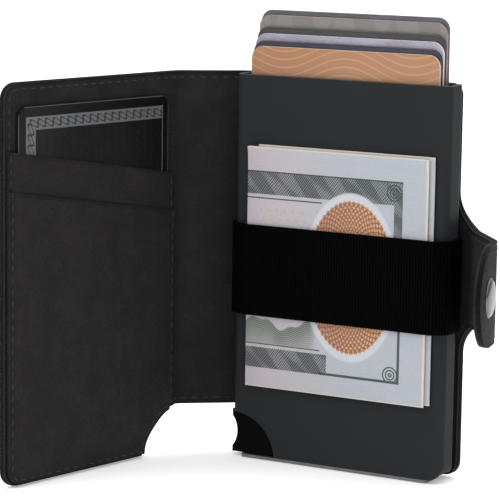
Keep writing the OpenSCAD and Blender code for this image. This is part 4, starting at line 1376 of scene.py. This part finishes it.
@dataclass
class Cover:
    """The leather cover, cut in one piece from the strap's tip to the flap's free edge.

    Distances along it start at the middle of the back: the flap's side is positive, the
    strap's side is negative.
    """

    back_y: float = 6.15
    fold_x: float = 32.85
    spine: float = 19.0
    flap: float = 63.0
    spine_turn: float = 37.0
    flap_turn: float = 78.0
    bridge: float = 22.3
    tip: float = 20.5
    bridge_turn: float = 50.0
    tip_turn: float = 78.0
    top: float = 102.0
    base: float = 0.4
    side: float = 31.25
    upper_side: float = 29.15
    strap_z: float = 52.8
    strap_half: float = 12.5
    flare: float = 7.1
    thumb: float = 12.2
    flap_corner: float = 4.5
    seam: float = 1.7
    pitch: float = 3.0
    face: float = 0.9
    layer: float = 0.2
    lining_inset: float = 0.14
    lining_groove: Point = (0.14, 0.18)
    outer_groove: Point = (-0.16, 0.28)

    def __post_init__(self) -> None:
        """Works out the two paths and the places of the folds."""
        self.fold_2 = self.fold_x + self.spine
        self.edge = self.fold_2 + self.flap
        self.strap_fold = self.fold_x + self.bridge
        self.strap_end = self.strap_fold + self.tip
        self.cover_path = self.path(-1.0, (self.spine, self.flap),
                                    (self.spine_turn, self.flap_turn), (5.0, 5.0), 1)
        self.strap_path = self.path(1.0, (self.bridge, self.tip),
                                    (self.bridge_turn, self.tip_turn), (9.0, 16.0), -1)

    def path(self, way: float, legs: Sequence[float], turns: Sequence[float],
             radii: tuple[float, ...], face: int) -> FoldPath:
        """Returns the path of one side of the cover.

        Args:
            way: 1 where it starts towards +X, -1 towards -X.
            legs: the lengths beyond the first fold.
            turns: each leg's turn from the back panel, in degrees.
            radii: the folds' radii.
            face: which side is the inner one.
        """
        points = [(0.0, self.back_y), (way * self.fold_x, self.back_y)]
        for leg, turn in zip(legs, turns):
            x, y = points[-1]
            a = math.radians(turn)
            points.append((x + way * leg * math.cos(a), y - leg * math.sin(a)))
        return FoldPath(tuple(points), radii, face)

    def place(self, s: float, w: float, z: float) -> Vector:
        """Puts a point of the flat cover on the folded one."""
        if s < 0.0:
            return self.strap_path.place(-s, w, z)
        return self.cover_path.place(s, w, z)

    def outline(self, d: float) -> tuple[Point, ...]:
        """Returns the whole cover's edge, drawn d inside it."""
        strap_c = -(self.strap_end - self.strap_half)
        flare_s = -(self.side + self.flare)
        low_flare = self.strap_z - self.strap_half - self.flare
        upper_flare = self.side + self.flare - self.upper_side
        high_flare = self.strap_z + self.strap_half + upper_flare
        thumb = self.thumb + d
        from_back = 180.0 - math.degrees(math.asin((self.base + d) / thumb))
        to_flap = math.degrees(math.asin(d / thumb))
        corner = self.flap_corner
        parts = [
            arc(strap_c, self.strap_z, self.strap_half - d, 90, 270, 28),
            arc(flare_s, low_flare, self.flare + d, 90, 0, 10),
            arc(-self.side + 4.0, self.base + 4.0, 4.0 - d, 180, 270, 8),
            arc(self.fold_x, 0.0, thumb, from_back, 90, 14),
            arc(self.fold_2 + 1.0, 0.0, thumb, 90, to_flap, 16),
            arc(self.edge - corner, corner, corner - d, 270, 360, 8),
            arc(self.edge - corner, self.top - corner, corner - d, 0, 90, 8),
            arc(-self.upper_side + 3.0, self.top - 3.0, 3.0 - d, 90, 180, 8),
            arc(flare_s, high_flare, upper_flare + d, 0, -90, 10)]
        return tuple(point for part in parts for point in part)

    def cuts(self) -> tuple[float, ...]:
        """Returns where the cover gets edges along its length, close together at its folds."""
        places = spread(self.fold_x - 3.6, self.fold_x + 3.6, 0.6)
        places += spread(self.fold_2 - 3.2, self.fold_2 + 2.2, 0.6)
        places += spread(-self.fold_x - 7.0, -self.fold_x + 4.2, 1.0)
        places += spread(-self.strap_fold - 5.4, -self.strap_fold + 5.4, 1.1)
        places += spread(-22.0, 22.0, 11.0)
        places += spread(self.fold_2 + 8.0, self.edge - 8.0, 9.0)
        places += [-self.strap_end + 8.0, self.fold_x + self.spine / 2]
        return tuple(places)

    def layer_blank(self, inner: bool) -> Blank:
        """Returns one layer of the cover, flat.

        Args:
            inner: whether it is the lining.
        """
        inset = self.lining_inset if inner else 0.0
        return Blank(self.outline(inset), self.layer if inner else -self.face,
                     self.face if inner else self.layer, self.cuts(),
                     tuple(spread(9.0, 93.0, 12.0)), (1.2 - inset, 0.5, 0.5),
                     *(self.lining_groove if inner else self.outer_groove))

    def build(self, shop: Workshop, pockets: "Pockets") -> None:
        """Builds the two layers, split mid-spine and mid-bridge, and their stitching."""
        spine_mid = self.fold_x + self.spine / 2
        bridge_mid = -(self.fold_x + self.bridge / 2)
        at = self.place
        f1 = (at(self.fold_x - 3.5, 0, 50) * MM, at(self.fold_x + 3.5, 0, 50) * MM)
        f2 = (at(self.fold_2 - 3.1, 0, 50) * MM, at(self.fold_2 + 2.1, 0, 50) * MM)
        r1 = (at(-31.3, 0, 50) * MM, at(-self.fold_x - 6.5, 0, 50) * MM)
        r2 = (at(-self.strap_fold + 5.0, 0, 50) * MM, at(-self.strap_fold - 5.0, 0, 50) * MM)
        stretches = (
            ("cover_back", 0.0, spine_mid, "case", "spine", f1, ("back", "spine")),
            ("cover_flap", spine_mid, None, "spine", "flap", f2, ("flap",)),
            ("strap_root", bridge_mid, 0.0, "case", "strap_bridge", r1, ("bridge",)),
            ("strap_tip", None, bridge_mid, "strap_bridge", "strap_tip", r2, ("tip",)))
        runs = self.stitching(pockets)
        for inner, finish, word in ((False, OUTER, "leather"), (True, LINING, "lining")):
            blank = self.layer_blank(inner)
            whole = blank.solid()
            for name, start, end, one, other, turn, nodes in stretches:
                bm = cut_span(whole, start, end)
                flat_size, flat_area = self.cut_size(bm)
                bend_sheet(bm, self.place)
                slot = "lining_leather" if inner else "outer_leather"
                piece = finish_piece(f"{name}_{word}", bm, (shop.material(finish),), slot)
                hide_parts(*[f"{node}_{word}" for node in nodes])
                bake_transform(piece, one, other, start=turn[0], end=turn[1])
                rows = runs[inner].mesh(-999.0 if start is None else start,
                                        999.0 if end is None else end)
                bend_sheet(rows, self.place)
                thread = finish_piece(f"{name}_{word}_stitches", rows,
                                      (shop.material(THREAD),), slot)
                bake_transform(thread, one, other, start=turn[0], end=turn[1])
            whole.free()

    def stitching(self, pockets: "Pockets") -> dict[bool, Stitching]:
        """Returns the stitch rows of the lining's side and of the outer side."""
        inner = Stitching()
        outer = Stitching()
        line = self.outline(self.seam)
        inner.run(line, self.pitch, True, lambda s, z: pockets.height(s, z) - 0.08)
        outer.run(line, self.pitch, True, lambda s, z: 0.06 - self.face)
        row = pockets.seam_line()
        inner.run(row, self.pitch, False, lambda s, z: pockets.height(s, z) + 0.02)
        outer.run(row, self.pitch, False, lambda s, z: -self.face - 0.02)
        return {True: inner, False: outer}

    @staticmethod
    def cut_size(bm: bmesh.types.BMesh) -> tuple[tuple[float, float], float]:
        """Returns a flat solid's length and height in metres, and its area in square metres."""
        along = [v.co.x for v in bm.verts]
        up = [v.co.z for v in bm.verts]
        size = ((max(along) - min(along)) * MM, (max(up) - min(up)) * MM)
        area = sum(f.calc_area() for f in bm.faces if abs(f.normal.y) > 0.5) / 2 * MM * MM
        return size, min(area, size[0] * size[1])


@dataclass
class Pockets:
    """The flap's two card pockets, sewn down at their sides and floor over the card."""

    cover: Cover
    start: float = 2.3
    free: float = 62.1
    floor: float = 0.9
    seam_u: float = 3.6
    thick: float = 0.6
    room: float = 1.0
    slope: float = 0.1675
    rear_hem: float = 85.0
    front_hem: float = 75.0
    hem_end: float = 61.5
    rise_u: Point = (4.0, 60.9)
    rise_z: float = 2.6

    def hem(self, free_height: float, u: float) -> float:
        """Returns a hem's height at a distance from the flap's fold."""
        return free_height - (self.hem_end - u) * self.slope

    def lift(self, u: float, z: float) -> float:
        """Returns how far the card pushes the pockets off the lining at a place."""
        sides = smooth((u - self.rise_u[0]) / 1.1) * smooth((self.rise_u[1] - u) / 1.5)
        return self.room * sides * smooth((z - self.rise_z) / 7.2)

    def height(self, s: float, z: float) -> float:
        """Returns the top surface's distance from the cover's line at a place."""
        u = s - self.cover.fold_2
        base = self.cover.face
        if not self.start - 0.2 <= u <= self.free + 0.3:
            return base
        layers = (z < self.hem(self.rear_hem, u)) + (z < self.hem(self.front_hem, u))
        if not layers:
            return base
        return base + layers * self.thick + self.lift(u, z)

    def outline(self, free_height: float) -> tuple[Point, ...]:
        """Returns a pocket's outline, in the flat cover's coordinates."""
        reach = self.cover.thumb + 0.35
        left = math.degrees(math.acos((self.start - 1.0) / reach))
        right = math.degrees(math.asin(self.floor / reach))
        radius = 3.6
        points = [(self.start, self.hem(free_height, self.start))]
        points += arc(1.0, 0.0, reach, left, right, 14)
        points += arc(self.free - radius, self.floor + radius, radius, 270, 360, 8)
        points.append((self.free, self.hem(free_height, self.free)))
        return tuple((self.cover.fold_2 + u, z) for u, z in points)

    def seam_line(self) -> list[Point]:
        """Returns the row of stitches on the spine's side of the pockets."""
        s = self.cover.fold_2 + self.seam_u
        return [(s, self.hem(self.rear_hem, self.seam_u) - 0.8), (s, 15.0)]

    def build(self, shop: Workshop) -> None:
        """Builds both pockets over the card."""
        fold = self.cover.fold_2
        cuts = [fold + u for u in (3.0, 3.6, 4.2, 4.5, 4.8, 5.1, 59.4, 59.8, 60.2, 60.6, 61.0)]
        cuts += [fold + u for u in spread(12.0, 54.0, 6.0)]
        rise = spread(self.rise_z, 9.8, 0.9) + spread(20.0, 80.0, 10.0)
        for name, hem, level in (("rear_pocket", self.rear_hem, 0),
                                 ("front_pocket", self.front_hem, 1)):
            low = self.cover.face + level * self.thick + 0.01
            blank = Blank(self.outline(hem), low, low + self.thick - 0.02, tuple(cuts),
                          tuple(rise), (0.7, 0.5, 0.5), 0.05, 0.16)
            bm = blank.solid()
            for vert in bm.verts:
                vert.co.y += self.lift(vert.co.x - fold, vert.co.z)
            size, area = Cover.cut_size(bm)
            bend_sheet(bm, self.cover.place)
            piece = finish_piece(name + "_panel", bm, (shop.material(POCKET),), "lining_leather")
            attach(piece, "flap")
            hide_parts(name)


@dataclass
class PocketCard:
    """The black card in the flap's pocket."""

    cover: Cover
    middle: float = 32.2
    floor: float = 10.4
    width: float = CARD_WIDTH
    height: float = CARD_HEIGHT
    thick: float = 0.8
    rim: float = 0.12
    level: float = 1.4
    finish: FiligreeCard = FiligreeCard("print_filigree", (0.0022, 0.0022, 0.0024),
                                        (0.15, 0.155, 0.16))

    def build(self, shop: Workshop) -> None:
        """Builds the card flat and stands it in the pocket."""
        bm = rounded_plate(self.width, self.height, CARD_CORNER, self.thick, self.rim)
        spot = (self.cover.fold_2 + self.middle, self.level, self.floor + self.height / 2)
        bmesh.ops.translate(bm, vec=spot, verts=bm.verts[:])
        bend_sheet(bm, self.cover.place)
        piece = finish_piece("pocket_card_print", bm, (shop.material(self.finish),
                                                       shop.material(BLACK_CORE)), "card_black")
        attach(piece, "pocket_card")
        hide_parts("pocket_card")


# ---- notes and band ----


@dataclass
class Banknotes:
    """Two notes, each folded in three, held on the case's face by the band."""

    paper: float = 0.11
    height: float = NOTE_HEIGHT
    curl: float = 0.5
    rear_curl: float = 0.12
    curl_reach: float = 5.2

    def build(self, shop: Workshop) -> None:
        """Builds both folded notes from flat strips."""
        for node, curl in (("banknote_front", self.curl), ("banknote_rear", self.rear_curl)):
            low, high = (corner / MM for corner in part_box(node))
            half = self.paper / 2
            first = low.y + half
            gap = (high.y - low.y - self.paper) / 2
            rows = (first, first + gap, first + 2 * gap)
            path = FoldPath(((low.x, rows[0]), (high.x, rows[0]), (high.x, rows[1]),
                             (low.x, rows[1]), (low.x, rows[2]), (high.x - 1.5, rows[2])),
                            (gap / 2 - 0.001,) * 4, -1)
            length = path.length()
            wide = high.x - low.x
            cuts = [v for fold in (wide, 2 * wide + gap)
                    for v in spread(fold - gap / 2, fold + 1.5 * gap, gap / 6)]
            cuts += spread(5.0, length - 5.0, 8.0)
            bm = Blank(((0.0, 0.0), (length, 0.0), (length, self.height), (0.0, self.height)),
                       -half, half, tuple(cuts), tuple(spread(2.0, 61.5, 3.5)), (), 0.0,
                       0.03).solid()
            flat = Cover.cut_size(bm)[0]
            bend_sheet(bm, lambda s, w, z, p=path, c=curl, b=low.z, f=wide: self.rest(p, s, w, z,
                                                                                      c, b, f))
            piece = finish_piece(node + "_paper", bm, (shop.material(PAPER),), "note_paper", 60.0)
            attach(piece, "notes")
            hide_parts(node)

    def rest(self, path: FoldPath, s: float, w: float, z: float, curl: float, base: float,
             wide: float) -> Vector:
        """Folds a point of the strip and lets its top edge stand a little off the case.

        Args:
            path: the strip's folds.
            s: the distance along the strip.
            w: the distance through the paper.
            z: the height above the note's lower edge.
            curl: how far the front layer's top edge stands off.
            base: the lower edge's height on the case.
            wide: the folded note's width.
        """
        spot = path.place(s, w, z + base)
        layer = 1.0 if s < wide else 0.45 if s < 2 * wide else 0.15
        over = max(0.0, (z - self.height + self.curl_reach) / self.curl_reach) ** 2
        wave = 0.75 + 0.25 * math.sin(s * 0.16 + 0.6)
        spot.y -= curl * layer * over * wave
        return spot


@dataclass
class ElasticSleeve:
    """The ribbed elastic band, stretched round the case and the notes."""

    low: float = 39.0
    width: float = 24.0
    thick: float = 0.84
    rib: float = RIB
    relief: float = 0.07
    corners: tuple[Point, ...] = ((-23.75, 4.8), (-31.25, 4.8), (-31.25, -4.15), (-25.95, -6.45),
                                  (28.1, -6.45), (31.25, -3.9), (31.25, 4.8), (23.75, 4.8))
    radii: tuple[float, ...] = (2.7, 2.5, 3.0, 1.2, 1.5, 2.7)

    def build(self, shop: Workshop) -> None:
        """Builds the band with its ribs pressed into both faces."""
        path = FoldPath(self.corners, self.radii, 1)
        length = path.length()
        half = self.thick / 2
        blank = Blank(((0.0, 0.0), (length, 0.0), (length, self.width), (0.0, self.width)),
                      -half, half, tuple(spread(0.2, length - 0.2, self.rib / 4)),
                      (0.6, 1.2, 12.0, 22.8, 23.4), (), 0.0, 0.2)
        bm = blank.solid()
        size = Cover.cut_size(bm)[0]
        for vert in bm.verts:
            ribs = self.relief * math.sin(math.tau * vert.co.x / self.rib)
            vert.co.y += math.copysign(ribs, vert.co.y)
            edge = min(vert.co.z, self.width - vert.co.z)
            vert.co.y *= 1.0 + 0.18 * (1.0 - smooth(edge / 1.2)) - 0.1 * (edge < 0.1)
            vert.co.z += 0.05 * math.sin(math.tau * vert.co.x / self.rib) * (edge < 0.7)
        bend_sheet(bm, lambda s, w, z: path.place(s, w, z + self.low))
        piece = finish_piece("elastic_sleeve", bm, (shop.material(ELASTIC),), "elastic", 50.0)
        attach(piece, "case")
        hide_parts("elastic_band")


# ---- the snap ----


@dataclass
class Snap:
    """The press stud: cap and socket on the strap's tip, stud on the flap."""

    cover: Cover
    on_strap: float = 9.7
    on_flap: float = 56.0
    radius: float = 4.9
    dome: float = 1.1

    def build(self, shop: Workshop) -> None:
        """Turns the cap, the socket and the stud, stands them on the strap's tip and the flap, and gives the
        stud's base steel.
        """
        tip = self.cover.strap_path.stand(self.cover.strap_fold + self.on_strap, 0.0,
                                          self.cover.strap_z)
        flap = self.cover.cover_path.stand(self.cover.fold_2 + self.on_flap, 0.0,
                                           self.cover.strap_z)
        face = self.cover.face
        curve = [(self.radius * math.sin(a) * 0.97, face + 0.2 + 0.9 * self.dome * math.cos(a) - 0.1)
                 for a in spread(0.0, math.pi / 2, 0.16)]
        cap = curve + [(self.radius, face + 0.06), (self.radius - 0.1, face - 0.02),
                       (2.1, face - 0.02), (2.1, -face + 0.1), (1.5, -face), (1.5, face - 0.7),
                       (0.0, face - 0.7)]
        self.part("snap_cap", cap, tip, shop.material(NICKEL), "strap_tip")
        low = -face - 1.3
        socket = [(4.4, -face), (4.4, low + 0.3), (4.1, low), (3.5, low + 0.1), (3.1, low + 0.32),
                  (2.7, low + 0.1), (2.4, low + 0.05), (2.3, low + 0.3), (2.3, -face), (4.4, -face)]
        self.part("snap_socket", socket, tip, shop.material(NICKEL), "strap_tip")
        stud = [(0.0, face + 1.0), (1.3, face + 0.98), (1.8, face + 0.85), (2.1, face + 0.62),
                (2.0, face + 0.42), (1.75, face + 0.25), (2.0, face + 0.06), (2.6, face),
                (1.5, face - 0.05), (1.5, -0.2), (0.0, -0.2)]
        self.part("snap_stud", stud, flap, shop.material(NICKEL), "flap")
        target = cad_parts["snap_stud_base"]
        target.data.materials.clear()
        target.data.materials.append(shop.material(STEEL))

    def part(self, node: str, profile: Sequence[Point], stand: Matrix,
             material: bpy.types.Material, body: str) -> None:
        """Turns one part of the snap and stands it on the leather.

        Args:
            node: the CAD node that it replaces.
            profile: radius and height above the leather's line.
            stand: where it stands.
            material: its material.
            body: the body that it rides on.
        """
        bm = turned(profile)
        bmesh.ops.transform(bm, matrix=stand, verts=bm.verts[:])
        bmesh.ops.recalc_face_normals(bm, faces=bm.faces[:])
        piece = finish_piece(node + "_turned", bm, (material,), "snap_metal", 35.0)
        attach(piece, body)
        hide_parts(node)


# ---- the studio ----


@dataclass
class Studio:
    """Floor, soft light and the camera."""

    azimuth: float = 29.4
    elevation: float = 8.8
    distance: float = 0.641
    lens: float = 179.2
    roll: float = 0.84
    target: tuple[float, float, float] = (-0.0196, -0.0154, 0.0578)
    front: float = 0.34
    behind: float = 0.40
    above: float = 1.6
    right: float = 0.5
    lamps: tuple = (("key", (-0.45, -0.8, 0.8), 0.5, 2.6), ("fill", (0.9, -0.45, 0.35), 0.6, 0.5),
                    ("top", (0.1, 0.5, 1.1), 0.9, 3.4))

    def build(self) -> None:
        """Sets the floor, the lights and the camera."""
        self.floor()
        self.lights()
        self.camera()

    def floor(self) -> None:
        """Makes the pale floor, which glows a little so that it stays white."""
        bm = bmesh.new()
        bmesh.ops.create_circle(bm, cap_ends=True, segments=96, radius=6.0)
        mesh = bpy.data.meshes.new("studio_floor")
        bm.to_mesh(mesh)
        bm.free()
        material, g, shader = new_surface("pale_floor", Roughness=0.9, Specular_IOR_Level=0.1,
                                          Emission_Color=(1.0, 1.0, 1.0, 1.0),
                                          Emission_Strength=0.3)
        place, _ = g.spaces()
        g.feed(shader.inputs["Base Color"],
               g.mix(g.noise(place, 4.0, 2.0), (0.90, 0.90, 0.90), (0.93, 0.93, 0.93)))
        mesh.materials.append(material)
        floor = bpy.data.objects.new("studio_floor", mesh)
        floor.location.z = -0.0002
        bpy.context.scene.collection.objects.link(floor)

    def lights(self) -> None:
        """Sets the white surround, dimmer on the strap's side, and the soft boxes."""
        world = bpy.data.worlds.new("studio")
        world.use_nodes = True
        g = Graph(world.node_tree)
        way = g.add("TexCoord", {}).outputs["Generated"]
        parts = g.add("SeparateXYZ", {"Vector": way})
        level = g.ramp(parts.outputs["Y"], -0.8, 0.6, self.front, self.behind)
        level = g.calc("MULTIPLY", level, g.ramp(parts.outputs["X"], 0.3, 0.9, 1.0, self.right))
        rise = g.ramp(parts.outputs["Z"], 0.15, 0.9)
        background = world.node_tree.nodes["Background"]
        background.inputs["Color"].default_value = (1.0, 1.0, 1.0, 1.0)
        overhead = g.calc("SUBTRACT", self.above, level)
        g.feed(background.inputs["Strength"], g.calc("MULTIPLY_ADD", rise, overhead, level))
        bpy.context.scene.world = world
        bpy.context.scene.view_settings.view_transform = "Standard"
        aim = Vector((0.0, 0.0, 0.05))
        for name, spot, size, power in self.lamps:
            data = bpy.data.lights.new(name, "AREA")
            data.size = size
            data.energy = power
            lamp = bpy.data.objects.new(name, data)
            lamp.location = spot
            lamp.rotation_euler = (aim - Vector(spot)).to_track_quat("-Z", "Y").to_euler()
            bpy.context.scene.collection.objects.link(lamp)

    def camera(self) -> None:
        """Sets the camera in front, towards the strap's side and a little above the middle."""
        a = math.radians(self.azimuth)
        e = math.radians(self.elevation)
        back = Vector((math.sin(a) * math.cos(e), -math.cos(a) * math.cos(e), math.sin(e)))
        data = bpy.data.cameras.new("camera")
        data.lens = self.lens
        data.sensor_width = 36.0
        camera = bpy.data.objects.new("camera", data)
        turn = (-back).to_track_quat("-Z", "Y").to_matrix()
        rolled = turn @ Matrix.Rotation(math.radians(self.roll), 3, "Z")
        camera.matrix_world = Matrix.Translation(Vector(self.target) + back * self.distance) \
            @ rolled.to_4x4()
        bpy.context.scene.collection.objects.link(camera)
        bpy.context.scene.camera = camera


def main() -> None:
    """Builds the wallet piece by piece, then the studio."""
    logging.basicConfig(level=logging.INFO, format="%(name)s: %(message)s")
    shop = Workshop()
    Studio().build()
    cover = Cover()
    pockets = Pockets(cover)
    CardCase().build(shop)
    CardFan().build(shop)
    cover.build(shop, pockets)
    pockets.build(shop)
    PocketCard(cover).build(shop)
    Banknotes().build(shop)
    ElasticSleeve().build(shop)
    Snap(cover).build(shop)


if __name__ == "__main__":
    main()
